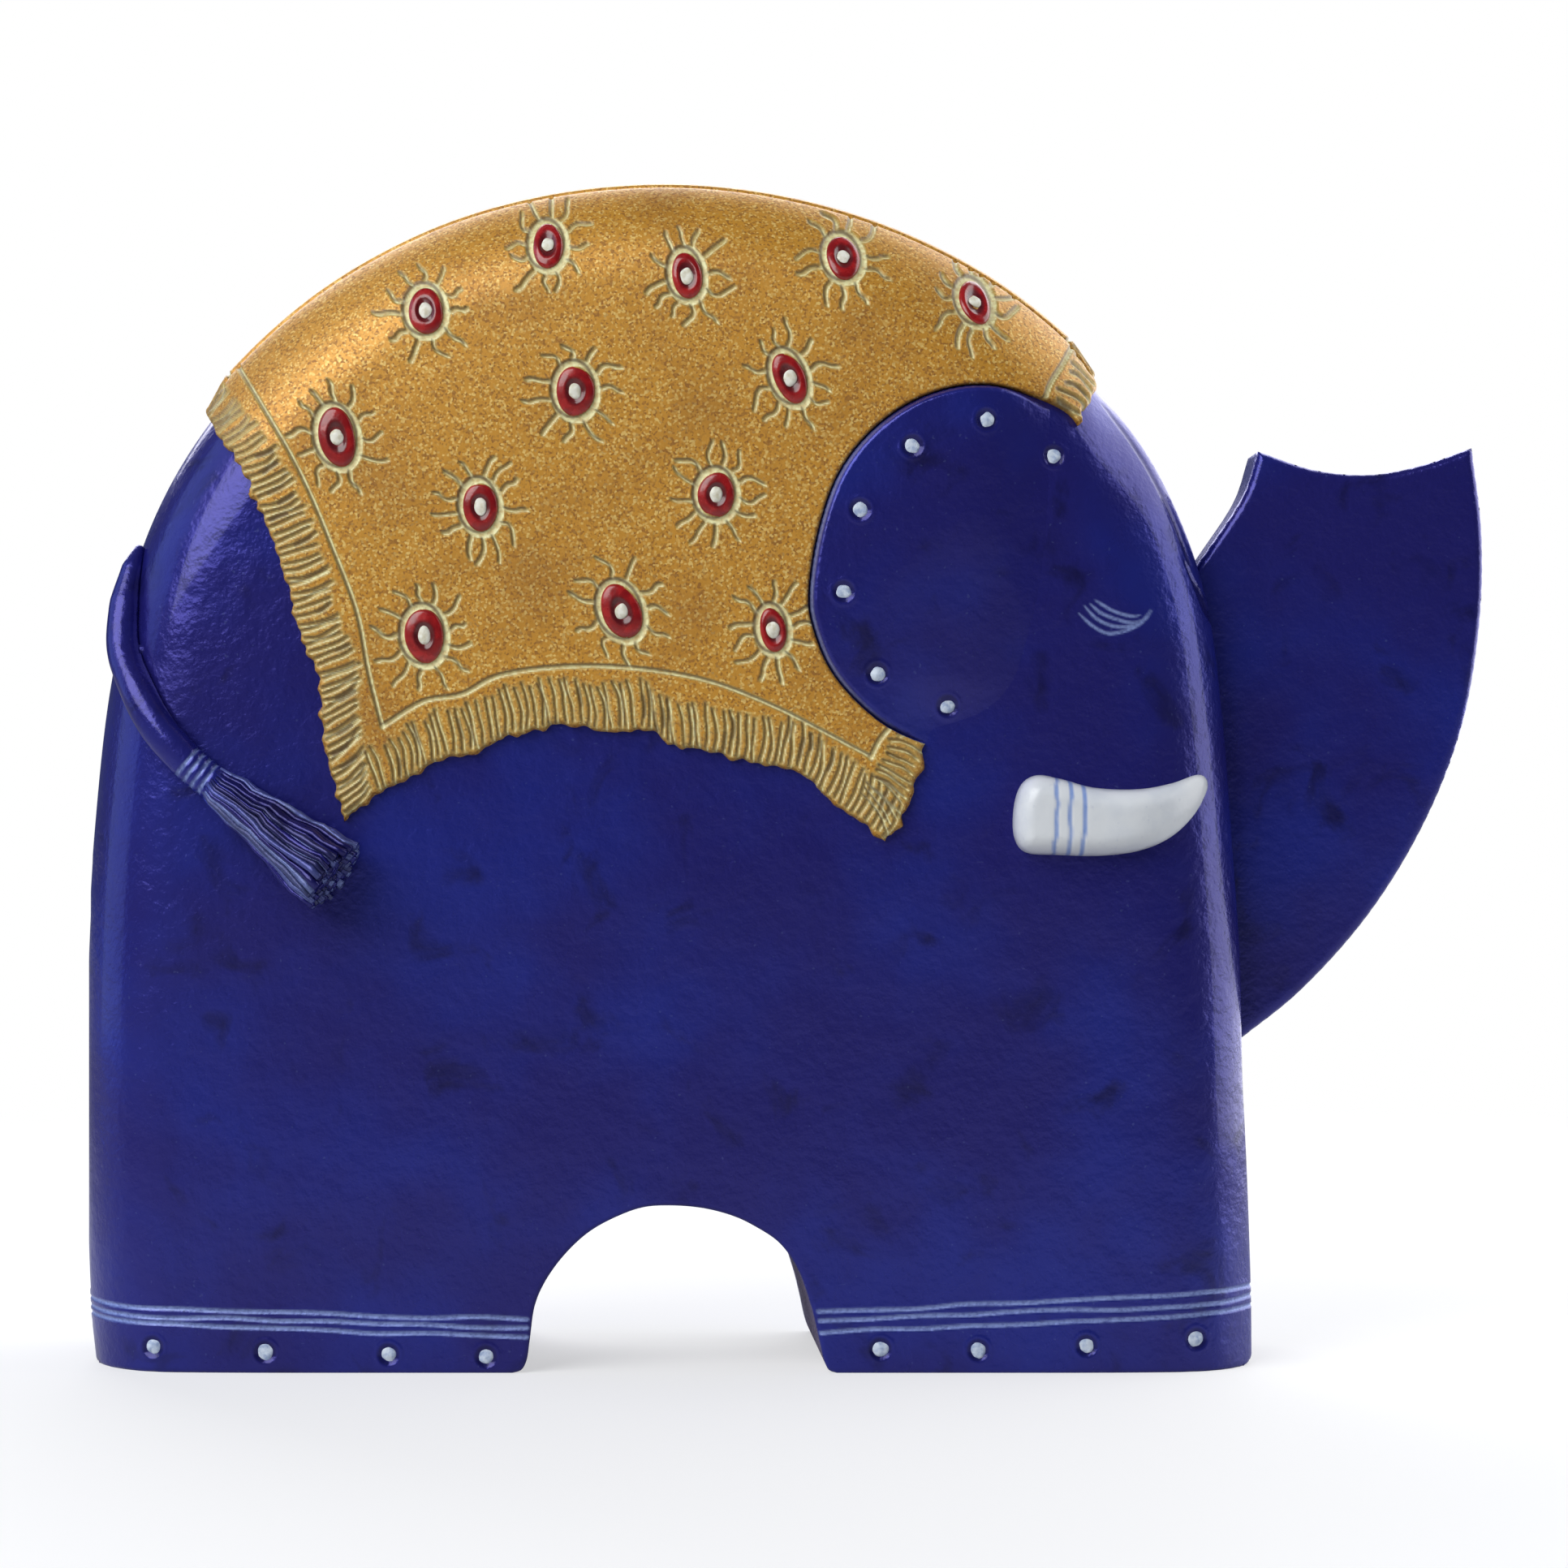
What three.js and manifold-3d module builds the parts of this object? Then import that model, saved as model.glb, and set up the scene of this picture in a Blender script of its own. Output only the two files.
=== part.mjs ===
// A free-standing elephant figurine, built up from carved and painted pieces:
// a thick body board, a thinner trunk board let into its front, and ears,
// tusks, a saddle blanket and a rope tail laid on it and held by small pins.
//
// Millimetres, +Z up, +X towards the trunk, and the elephant's right flank
// faces -Y. The origin is on the ground, under the middle of the whole piece.

import * as THREE from "three";
import { mergeVertices } from "three/addons/utils/BufferGeometryUtils.js";
import Module from "manifold-3d";

const wasm = await Module();
wasm.setup();

// ---------------------------------------------------------------- dimensions

const GAP = 0.3; // glue gap between pieces that touch
const MID_PLANE_Y = 3.55; // the body's mid-plane, so that the whole piece is centred
const MID_PLANE_X = 0.2;

const BODY_HALF = 24; // half the body's thickness
const RIM_HALF = 5.5; // half the flat band round its edge
const ROUND_REACH = 13; // how far in the edge rounding reaches
const ROUND_DEPTH = 15; // and how far out it rises
const CROWN_REACH = 30; // the gentle swell of the flank, inside the rounding
const CROWN_DEPTH = BODY_HALF - RIM_HALF - ROUND_DEPTH;
const OUTLINE_STEPS = 64;
const BELOW_GROUND = 45; // the body is shaped past the ground, then cut flat
const BEYOND = 60; // how far cuts run out past the body

const TRUNK_HALF = 8;
const TRUNK_ROUND = 1.2;
const TRUNK_DOWEL = { diameter: 5, inBody: 38, inTrunk: 67, heights: [95, 62] };

const BLANKET_THICK = 1.2;
const CREST_HALF = 11.5; // half the strip that runs over the back

const EAR_THICK = { rear: 3.1, front: 1.1 };
const EAR_PIN = { diameter: 2.4, places: [[14, 120], [22, 101]], intoBody: 9, intoEar: 1.3 };

const TUSK_THICK = 4.2;
const TUSK_BEVEL = 1.4;
const TUSK_PIN = { diameter: 3, x: 42, z: 77, intoBody: 12, intoTusk: 2.4 };

const TAIL_RADIUS = 2.5;
const TAIL_THINNING = [0.36, 0.8, 0.96, 1, 1, 1, 1]; // radius along the rope, from its upper end
const TAIL_LIFT = 1.6; // from the flank to the middle of the rope
const TASSEL_MIDDLE_RADIUS = 3.6;
const TASSEL_END_RADIUS = 5.2;
const TASSEL_END_LIFT = 6.2;
const TAIL_PEG = { diameter: 1.8, atPoint: 2, intoBody: 8, intoRope: 0.2 };
const TASSEL_PIN = { diameter: 2.4, x: -67.5, z: 73, intoBody: 9, intoTassel: 5 };

// Outlines, as x and z in the plane of the flank.
const BACK = [
  [-98.6, 0], [-99.6, 10], [-100.1, 32], [-100, 54], [-98.8, 76], [-96.2, 98], [-91.2, 118],
  [-82, 134.2], [-67.4, 149], [-51, 158.7], [-35, 163.7], [-18, 165.5], [-2, 164.1],
  [14, 159.6], [29, 152], [41.4, 141.8], [50, 131], [56, 119.5], [59.8, 107.5], [61.9, 92],
  [63.6, 70], [65, 50], [66.2, 30], [66.9, 10], [67, 0],
];
const FOOT_CORNER = 1.9; // radius of the rounded lower corners, front and rear
const ARCH = [
  [-36.8, -4], [-36, 2], [-34.6, 10.4], [-29.6, 17.7], [-20.2, 23], [-13.7, 23.4], [-7, 21.7],
  [-0.3, 17.7], [3.6, 10.4], [4.6, 5], [6, 0], [7, -4],
];
const TRUNK_REAR = [[57.6, 111.6], [61.2, 116.6], [65.7, 123.6], [67.7, 129.7]];
const TRUNK_TIP = [[67.7, 129.7], [76, 127], [84, 126.4], [91.4, 127.8], [98.3, 130.2]];
const TRUNK_FRONT = [
  [98.3, 130.2], [99.7, 118], [99.4, 105], [96.9, 90.5], [91.7, 77], [83.6, 63.6], [73.6, 52.4],
  [64.9, 45.4],
];
const TRUNK_ROOT = [[56.6, 46.6], [51.4, 104.6]];
const BLANKET_REAR_HEM = [
  [-86, 142], [-82, 134], [-76.4, 125.6], [-71.2, 114.4], [-67, 100.6], [-64.8, 90], [-61.5, 76.8],
];
const BLANKET_LOWER_HEM = [
  [-61.5, 76.8], [-53.4, 82.2], [-42, 87], [-28, 89.6], [-14, 87.8], [-2.4, 83.6], [6.6, 79.6],
  [13.9, 74.1],
];
const BLANKET_FRONT_HEM = [[13.9, 74.1], [17.6, 81.6], [19.8, 88.6], [24, 96], [30, 114]];
const BLANKET_HEAD_END = [[40.6, 132.2], [42.8, 135.4], [45.2, 141.6], [51, 150]];
const BLANKET_OVER = [[51, 190], [-86, 190]];
const EAR = [
  [3.3, 107.6], [6.2, 98.3], [10.2, 93.4], [15.2, 89.6], [22, 87.4], [29, 89], [35, 95.5],
  [38.8, 106], [40.4, 117], [41.6, 126.5], [40.3, 132.9], [34, 136.2], [26.3, 137.6],
  [18.8, 135.8], [12.4, 131.6], [7.6, 125.6], [4.6, 117.2],
];
const TUSK_LOWER = [
  [32, 79.5], [32, 74.4], [33.4, 72.6], [44.3, 72.1], [52.8, 74], [57.6, 78], [59.4, 82],
];
const TUSK_UPPER = [[59.4, 82], [58.2, 83.6], [49.5, 81.4], [43, 81.6], [34.8, 83.4], [32, 79.5]];
const TAIL_LINE = [
  [-91.2, 115.4], [-91.9, 107.4], [-91.7, 100.6], [-89.5, 94.8], [-86.9, 89.9], [-83.7, 85.8],
  [-80.4, 82.9],
];
const TASSEL_LINE = [[-79.9, 82.5], [-71.4, 76], [-62.4, 69.2]];

// ------------------------------------------------------------------- finishes

const FINISH = {
  lacquer: { color: 0x211d66, roughness: 0.3, metalness: 0 },
  gold: { color: 0xc89632, roughness: 0.4, metalness: 0.7 },
  ivory: { color: 0xe1e6e8, roughness: 0.3, metalness: 0 },
  timber: { color: 0xb98a58, roughness: 0.7, metalness: 0 },
};

// ------------------------------------------------- solids, outlines and cuts

function solidFrom(geometry) {
  const bare = geometry.clone();
  bare.deleteAttribute("normal");
  bare.deleteAttribute("uv");
  const merged = mergeVertices(bare, 1e-4);
  const vertProperties = merged.attributes.position.array;
  const triVerts = new Uint32Array(merged.index.array);
  return new wasm.Manifold(new wasm.Mesh({ numProp: 3, vertProperties, triVerts }));
}

function geometryFrom(solid) {
  const mesh = solid.getMesh();
  const geometry = new THREE.BufferGeometry();
  geometry.setAttribute("position", new THREE.BufferAttribute(mesh.vertProperties, 3));
  geometry.setIndex(new THREE.BufferAttribute(mesh.triVerts, 1));
  geometry.computeVertexNormals();
  return geometry;
}

function smooth(points, steps) {
  const through = points.map(([x, z]) => new THREE.Vector3(x, z, 0));
  const curve = new THREE.CatmullRomCurve3(through, false, "centripetal");
  return curve.getSpacedPoints(steps).map((p) => new THREE.Vector2(p.x, p.y));
}

// Joins stretches end to end into one closed outline, counter-clockwise.
function closedOutline(...stretches) {
  const points = [];
  for (const p of stretches.flat()) {
    const last = points[points.length - 1];
    if (!last || last.distanceTo(p) > 1e-6) points.push(p);
  }
  if (points[0].distanceTo(points[points.length - 1]) < 1e-6) points.pop();
  return THREE.ShapeUtils.isClockWise(points) ? points.reverse() : points;
}

const vectors = (pairs) => pairs.map(([x, z]) => new THREE.Vector2(x, z));

// Each corner moved inwards, so that both edges beside it move by the inset.
function insetOutline(outline, inset) {
  const n = outline.length;
  return outline.map((p, i) => {
    const a = p.clone().sub(outline[(i + n - 1) % n]).normalize();
    const b = outline[(i + 1) % n].clone().sub(p).normalize();
    const mitre = new THREE.Vector2(-a.y - b.y, a.x + b.x);
    return p.clone().addScaledVector(mitre, inset / (1 + a.dot(b)));
  });
}

// A board on the mid-plane: rings set in from the outline, each with its own half thickness.
function board(outline, profile) {
  const n = outline.length;
  const position = [];
  const index = [];
  const rings = profile.map(([inset, half]) => {
    const points = insetOutline(outline, inset);
    return [-1, 1].map((side) => {
      const start = position.length / 3;
      points.forEach((p) => position.push(p.x, side * half, p.y));
      return start;
    });
  });
  const quad = (a, b, c, d) => index.push(a, b, c, a, c, d);
  for (let j = 0; j < n; j++) {
    const k = (j + 1) % n;
    quad(rings[0][1] + j, rings[0][1] + k, rings[0][0] + k, rings[0][0] + j);
    for (let i = 0; i + 1 < rings.length; i++) {
      const [near, far] = rings[i];
      const [nearIn, farIn] = rings[i + 1];
      quad(near + j, near + k, nearIn + k, nearIn + j);
      quad(farIn + j, farIn + k, far + k, far + j);
    }
  }
  const [near, far] = rings[rings.length - 1];
  const inner = insetOutline(outline, profile[profile.length - 1][0]);
  for (const [a, b, c] of THREE.ShapeUtils.triangulateShape(inner, [])) {
    index.push(near + a, near + b, near + c, far + a, far + c, far + b);
  }
  const geometry = new THREE.BufferGeometry();
  geometry.setAttribute("position", new THREE.Float32BufferAttribute(position, 3));
  geometry.setIndex(index);
  return solidFrom(geometry);
}

// The outline pushed through the board, from one y to another.
function prism(outline, yNear, yFar) {
  const depth = yFar - yNear;
  const geometry = new THREE.ExtrudeGeometry(new THREE.Shape(outline), { depth, bevelEnabled: false });
  return solidFrom(geometry.rotateX(Math.PI / 2).translate(0, yFar, 0));
}

// A round pin or hole, from one end to the other, cut a little short of both.
function rod(diameter, from, to, sides = 16) {
  const start = new THREE.Vector3(...from);
  const end = new THREE.Vector3(...to);
  const along = end.clone().sub(start);
  const geometry = new THREE.CylinderGeometry(diameter / 2, diameter / 2, along.length(), sides);
  const turn = new THREE.Quaternion();
  turn.setFromUnitVectors(new THREE.Vector3(0, 1, 0), along.clone().normalize());
  geometry.applyQuaternion(turn);
  const middle = start.add(end).multiplyScalar(0.5);
  return solidFrom(geometry.translate(middle.x, middle.y, middle.z));
}

function mirrored(solid) {
  const mesh = solid.getMesh();
  const vertProperties = mesh.vertProperties.map((v, i) => (i % 3 === 1 ? -v : v));
  const triVerts = mesh.triVerts.slice();
  for (let i = 0; i < triVerts.length; i += 3) {
    [triVerts[i + 1], triVerts[i + 2]] = [triVerts[i + 2], triVerts[i + 1]];
  }
  return new wasm.Manifold(new wasm.Mesh({ numProp: 3, vertProperties, triVerts }));
}

// ------------------------------------------------------- the flank's own shape

const backLine = smooth(BACK, OUTLINE_STEPS);
const rearFootX = BACK[0][0];
const frontFootX = BACK[BACK.length - 1][0];
const bodyOutline = closedOutline(
  backLine,
  vectors([[frontFootX, -BELOW_GROUND], [rearFootX, -BELOW_GROUND]]),
);

// A quarter of an ellipse: how far out, and how steep, at a share of its reach.
function quarter(share) {
  const back = Math.max(1 - share, 0);
  const out = Math.sqrt(1 - back * back);
  return { out, slope: out > 0 ? back / out : Infinity };
}

// The flank at a distance in from the edge: its height off the mid-plane and its slope.
function flank(inset) {
  const round = quarter(inset / ROUND_REACH);
  const crown = quarter(inset / CROWN_REACH);
  return {
    half: RIM_HALF + ROUND_DEPTH * round.out + CROWN_DEPTH * crown.out,
    slope: (ROUND_DEPTH / ROUND_REACH) * round.slope + (CROWN_DEPTH / CROWN_REACH) * crown.slope,
  };
}

// The body's outer surface, grown outwards all over by a lift.
function grownBody(lift) {
  const insets = [0, 0.35, 1.4, 3.2, 5.8, 9, ROUND_REACH, 20, CROWN_REACH];
  const profile = insets.map((inset) => {
    if (inset === 0) return [-lift, RIM_HALF];
    const { half, slope } = flank(inset);
    const length = Math.hypot(1, slope);
    return [inset - (lift * slope) / length, half + lift / length];
  });
  return board(bodyOutline, profile);
}

// The point of the right flank at x and z, then lifted straight off its surface.
function offFlank(x, z, lift) {
  const place = new THREE.Vector3(x, z, 0);
  let inset = Infinity;
  let outwards = null;
  for (let i = 0; i + 1 < backLine.length; i++) {
    const [a, b] = [backLine[i], backLine[i + 1]];
    const edge = new THREE.Line3(new THREE.Vector3(a.x, a.y, 0), new THREE.Vector3(b.x, b.y, 0));
    const foot = edge.closestPointToPoint(place, true, new THREE.Vector3());
    if (foot.distanceTo(place) > inset) continue;
    inset = foot.distanceTo(place);
    outwards = new THREE.Vector2(a.y - b.y, b.x - a.x).normalize();
  }
  const { half, slope } = flank(inset);
  const length = Math.hypot(1, slope);
  const sideways = (lift * slope) / length;
  return new THREE.Vector3(
    x + outwards.x * sideways,
    -(half + lift / length),
    z + outwards.y * sideways,
  );
}

// A round section swept along points, its radius changing on the way.
function rope(points, radii, sides = 12) {
  const curve = new THREE.CatmullRomCurve3(points, false, "centripetal");
  const steps = 4 * (points.length - 1);
  const frames = curve.computeFrenetFrames(steps, false);
  const position = [];
  const index = [];
  for (let i = 0; i <= steps; i++) {
    const middle = curve.getPointAt(i / steps);
    const place = (i / steps) * (radii.length - 1);
    const low = Math.min(Math.floor(place), radii.length - 2);
    const radius = THREE.MathUtils.lerp(radii[low], radii[low + 1], place - low);
    for (let j = 0; j < sides; j++) {
      const angle = (2 * Math.PI * j) / sides;
      const p = middle.clone();
      p.addScaledVector(frames.normals[i], radius * Math.cos(angle));
      p.addScaledVector(frames.binormals[i], radius * Math.sin(angle));
      position.push(p.x, p.y, p.z);
    }
  }
  for (let i = 0; i < steps; i++) {
    for (let j = 0; j < sides; j++) {
      const k = (j + 1) % sides;
      const [a, b] = [i * sides + j, i * sides + k];
      index.push(a, b, b + sides, a, b + sides, a + sides);
    }
  }
  const last = steps * sides;
  for (let j = 1; j + 1 < sides; j++) index.push(0, j + 1, j, last, last + j, last + j + 1);
  const geometry = new THREE.BufferGeometry();
  geometry.setAttribute("position", new THREE.Float32BufferAttribute(position, 3));
  geometry.setIndex(index);
  return solidFrom(geometry);
}

// ---------------------------------------------------------------- the pieces

const root = new THREE.Group();
root.position.set(MID_PLANE_X, MID_PLANE_Y, 0);

function add(name, finish, solid) {
  const mesh = new THREE.Mesh(geometryFrom(solid), new THREE.MeshStandardMaterial(FINISH[finish]));
  mesh.name = name;
  root.add(mesh);
}

const glueLine = grownBody(GAP);

const trunkOutline = closedOutline(
  smooth(TRUNK_REAR, 6),
  smooth(TRUNK_TIP, 10),
  smooth(TRUNK_FRONT, 18),
  vectors(TRUNK_ROOT),
);

function trunkBoard() {
  const profile = [
    [0, TRUNK_HALF - TRUNK_ROUND],
    [0.3 * TRUNK_ROUND, TRUNK_HALF - 0.3 * TRUNK_ROUND],
    [TRUNK_ROUND, TRUNK_HALF],
  ];
  return board(trunkOutline, profile);
}

function trunkDowel(z, extra = 0) {
  const { diameter, inBody, inTrunk } = TRUNK_DOWEL;
  return rod(diameter + extra, [inBody - extra, 0, z], [inTrunk + extra, 0, z]);
}

function blanketPiece(yNear, yFar) {
  const outline = closedOutline(
    smooth(BLANKET_REAR_HEM, 14),
    smooth(BLANKET_LOWER_HEM, 16),
    smooth(BLANKET_FRONT_HEM, 8),
    vectors(BLANKET_HEAD_END),
    vectors(BLANKET_OVER),
  );
  return grownBody(GAP + BLANKET_THICK)
    .subtract(glueLine)
    .intersect(prism(outline, yNear, yFar));
}

const earCurve = new THREE.CatmullRomCurve3(
  EAR.map(([x, z]) => new THREE.Vector3(x, z, 0)), true, "centripetal",
);
const earLine = closedOutline(earCurve.getSpacedPoints(40).map((p) => new THREE.Vector2(p.x, p.y)));

// Thick at its rear edge, and shaved down to the head at its front.
function ear() {
  const span = new THREE.Box2().setFromPoints(earLine).expandByScalar(5);
  const shaved = new THREE.Shape(vectors([
    [span.min.x, -BODY_HALF - EAR_THICK.rear], [span.max.x, -BODY_HALF - EAR_THICK.front],
    [span.max.x, -2 * BODY_HALF], [span.min.x, -2 * BODY_HALF],
  ]));
  const depth = span.max.y - span.min.y;
  const cutter = new THREE.ExtrudeGeometry(shaved, { depth, bevelEnabled: false });
  cutter.translate(0, 0, span.min.y);
  return grownBody(EAR_THICK.rear + 0.5)
    .subtract(glueLine)
    .intersect(prism(earLine, -2 * BODY_HALF, 0))
    .subtract(solidFrom(cutter));
}

function earPin([x, z], extra = 0) {
  const { diameter, intoBody, intoEar } = EAR_PIN;
  const from = -BODY_HALF + intoBody + extra;
  return rod(diameter + 2 * extra, [x, from, z], [x, -BODY_HALF - intoEar - extra, z]);
}

function tusk() {
  const outline = closedOutline(smooth(TUSK_LOWER, 18), smooth(TUSK_UPPER, 14));
  const depth = BODY_HALF + TUSK_THICK - TUSK_BEVEL;
  const bar = new THREE.ExtrudeGeometry(new THREE.Shape(insetOutline(outline, TUSK_BEVEL)), {
    depth,
    bevelThickness: TUSK_BEVEL,
    bevelSize: TUSK_BEVEL,
    bevelSegments: 3,
  });
  return grownBody(TUSK_THICK + 0.2)
    .subtract(glueLine)
    .intersect(solidFrom(bar.rotateX(Math.PI / 2)));
}

function tuskPin(extra = 0) {
  const { diameter, x, z, intoBody, intoTusk } = TUSK_PIN;
  const from = -BODY_HALF + intoBody + extra;
  return rod(diameter + 2 * extra, [x, from, z], [x, -BODY_HALF - intoTusk - extra, z]);
}

const tailPoints = TAIL_LINE.map(([x, z]) => offFlank(x, z, TAIL_LIFT));
const tailRadii = TAIL_THINNING.map((share) => share * TAIL_RADIUS);

const tasselPoints = TASSEL_LINE.map(([x, z], i) => {
  const share = i / (TASSEL_LINE.length - 1);
  return offFlank(x, z, THREE.MathUtils.lerp(TAIL_LIFT, TASSEL_END_LIFT, share));
});

function tailPeg(extra = 0) {
  const { diameter, atPoint, intoBody, intoRope } = TAIL_PEG;
  const { x, y, z } = tailPoints[atPoint];
  const to = [x - intoRope - extra, y, z];
  return rod(diameter + 2 * extra, [x + intoBody + extra, y, z], to, 12);
}

function tasselPin(extra = 0) {
  const { diameter, x, z, intoBody, intoTassel } = TASSEL_PIN;
  const from = -BODY_HALF + intoBody + extra;
  return rod(diameter + 2 * extra, [x, from, z], [x, -BODY_HALF - intoTassel - extra, z], 12);
}

// What lies outside the rounded lower corner whose edges meet at x, on the side that it faces.
function footCorner(x, side) {
  const r = FOOT_CORNER;
  const turn = side > 0 ? 0 : -Math.PI;
  const arc = new THREE.EllipseCurve(x - side * r, r, r, r, -Math.PI / 2, turn, side < 0);
  const outside = x + 3 * r * side;
  const beyond = vectors([[outside, r], [outside, -3 * r], [x - side * r, -3 * r]]);
  return prism(closedOutline(arc.getPoints(6), beyond), -BEYOND, BEYOND);
}

function bodyBlock() {
  const left = rearFootX - BEYOND;
  const right = frontFootX + BEYOND;
  const ground = vectors([[left, -BEYOND], [right, -BEYOND], [right, 0], [left, 0]]);
  const trunkRoom = insetOutline(trunkOutline, -GAP);
  let solid = grownBody(0)
    .subtract(prism(ground, -BEYOND, BEYOND))
    .subtract(footCorner(rearFootX - GAP / 2, -1))
    .subtract(footCorner(frontFootX, 1))
    .subtract(prism(closedOutline(smooth(ARCH, 24)), -BEYOND, BEYOND))
    .subtract(prism(trunkRoom, -TRUNK_HALF - GAP, TRUNK_HALF + GAP));
  for (const z of TRUNK_DOWEL.heights) solid = solid.subtract(trunkDowel(z, 2 * GAP));
  for (const pin of [tuskPin(GAP), ...EAR_PIN.places.map((place) => earPin(place, GAP))]) {
    solid = solid.subtract(pin).subtract(mirrored(pin));
  }
  return solid.subtract(tailPeg(GAP)).subtract(tasselPin(GAP));
}

add("body_block", "lacquer", bodyBlock());

let trunk = trunkBoard();
for (const z of TRUNK_DOWEL.heights) trunk = trunk.subtract(trunkDowel(z, 2 * GAP));
add("trunk", "lacquer", trunk);
TRUNK_DOWEL.heights.forEach((z, i) => {
  add(["trunk_dowel_upper", "trunk_dowel_lower"][i], "timber", trunkDowel(z));
});

const earRoom = prism(insetOutline(earLine, -GAP), -2 * BODY_HALF, 0);
const blanketRight = blanketPiece(-2 * BODY_HALF, -CREST_HALF - GAP / 2).subtract(earRoom);
add("blanket_right", "gold", blanketRight);
add("blanket_crest", "gold", blanketPiece(-CREST_HALF + GAP / 2, CREST_HALF - GAP / 2));
add("blanket_left", "gold", mirrored(blanketRight));

const pinnedEar = EAR_PIN.places.reduce((solid, place) => solid.subtract(earPin(place, GAP)), ear());
const pinnedTusk = tusk().subtract(tuskPin(GAP));
for (const [side, turned] of [["right", (s) => s], ["left", mirrored]]) {
  add(`ear_${side}`, "lacquer", turned(pinnedEar));
  EAR_PIN.places.forEach((place, i) => {
    add(`ear_pin_${side}_${["upper", "lower"][i]}`, "timber", turned(earPin(place)));
  });
  add(`tusk_${side}`, "ivory", turned(pinnedTusk));
  add(`tusk_pin_${side}`, "timber", turned(tuskPin()));
}

add("tail_rope", "lacquer", rope(tailPoints, tailRadii).subtract(glueLine).subtract(tailPeg(GAP)));
add("tail_peg", "timber", tailPeg());
const tasselRadii = [TAIL_RADIUS, TASSEL_MIDDLE_RADIUS, TASSEL_END_RADIUS];
const tassel = rope(tasselPoints, tasselRadii, 20).subtract(glueLine).subtract(tasselPin(GAP));
add("tail_tassel", "lacquer", tassel);
add("tassel_pin", "timber", tasselPin());

export default root;
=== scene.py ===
# %% [markdown]
# # A painted elephant, piece by piece
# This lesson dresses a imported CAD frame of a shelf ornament: a thick body board with a
# rounded edge, a thinner trunk board, and ears, tusks, a saddle blanket and a rope tail laid
# on it. The CAD pieces say where everything is. Here each one gets its carved and painted
# surface, in the same place, and the pins and dowels inside the joints get their finish.

import math
import random

import bpy
import numpy as np
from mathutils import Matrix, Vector
from mathutils.geometry import delaunay_2d_cdt
from mathutils.kdtree import KDTree


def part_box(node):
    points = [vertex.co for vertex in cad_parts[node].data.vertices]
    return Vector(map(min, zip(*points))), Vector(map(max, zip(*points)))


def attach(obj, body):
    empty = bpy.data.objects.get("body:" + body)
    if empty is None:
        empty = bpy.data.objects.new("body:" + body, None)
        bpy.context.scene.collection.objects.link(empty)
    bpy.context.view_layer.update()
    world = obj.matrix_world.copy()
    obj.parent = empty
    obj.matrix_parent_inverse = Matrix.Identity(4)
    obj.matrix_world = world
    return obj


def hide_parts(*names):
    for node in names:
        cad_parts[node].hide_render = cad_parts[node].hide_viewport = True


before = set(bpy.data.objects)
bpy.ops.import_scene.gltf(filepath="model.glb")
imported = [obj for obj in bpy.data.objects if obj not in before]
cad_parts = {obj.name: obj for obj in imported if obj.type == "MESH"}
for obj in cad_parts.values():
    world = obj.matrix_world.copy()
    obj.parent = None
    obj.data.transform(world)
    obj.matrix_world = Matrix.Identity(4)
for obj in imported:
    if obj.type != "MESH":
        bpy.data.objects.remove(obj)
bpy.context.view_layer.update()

# %% [markdown]
# ## Working sizes
# Everything below is worked out in millimetres on the elephant's own mid-plane, with x
# forward and z up, as a carver would draw it on the board. `mid_x` and `mid_y` come from the
# frame and carry a drawing into its place when a mesh is made.

# %% Sizes taken from the frame
MM = 0.001
body_low, body_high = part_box("body_block")
BODY_HALF = (body_high.y - body_low.y) / 2 / MM
REAR_FOOT_X, FRONT_FOOT_X = -98.6, 67.0
mid_x = body_high.x / MM - FRONT_FOOT_X
mid_y = (body_high.y + body_low.y) / 2 / MM

# half the flat band round the edge, then the rounding, then the gentle swell to full thickness
RIM_HALF = 5.5
ROUND_REACH, ROUND_DEPTH = 13.0, 15.0
CROWN_REACH = 30.0
CROWN_DEPTH = BODY_HALF - RIM_HALF - ROUND_DEPTH
# from here forward the head is cut fuller, over this length and by this much
FULLER_FROM, FULLER_OVER, FRONT_SKIP = 44.0, 10.0, 2.2
print(f"body {2 * BODY_HALF:.1f} mm thick, mid-plane at x {mid_x:.2f}, y {mid_y:.2f} mm")

# %% [markdown]
# ## Smooth outlines
# A carver marks a few points and runs a spline through them. `smooth` does the same with a
# centripetal Catmull-Rom curve, which passes through every point and never loops.

# %% Splines and spacing
def smooth(points, spacing, closed=False):
    """Points about spacing apart on a smooth curve through the given ones."""
    p = np.array(points, float)
    if closed:
        p = np.vstack([p[-1:], p, p[:2]])
    else:
        p = np.vstack([2 * p[0] - p[1], p, 2 * p[-1] - p[-2]])
    fine = []
    for a, b, c, d in zip(p, p[1:], p[2:], p[3:]):
        t0, t1 = 0.0, math.dist(a, b) ** 0.5
        t2 = t1 + math.dist(b, c) ** 0.5
        t3 = t2 + math.dist(c, d) ** 0.5
        t = np.linspace(t1, t2, 24, endpoint=False)[:, None]
        ab = (t1 - t) / (t1 - t0) * a + (t - t0) / (t1 - t0) * b
        bc = (t2 - t) / (t2 - t1) * b + (t - t1) / (t2 - t1) * c
        cd = (t3 - t) / (t3 - t2) * c + (t - t2) / (t3 - t2) * d
        abc = (t2 - t) / (t2 - t0) * ab + (t - t0) / (t2 - t0) * bc
        bcd = (t3 - t) / (t3 - t1) * bc + (t - t1) / (t3 - t1) * cd
        fine.append((t2 - t) / (t2 - t1) * abc + (t - t1) / (t2 - t1) * bcd)
    fine = np.vstack(fine + [p[-2:-1]])
    return spaced(fine, spacing)


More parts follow.
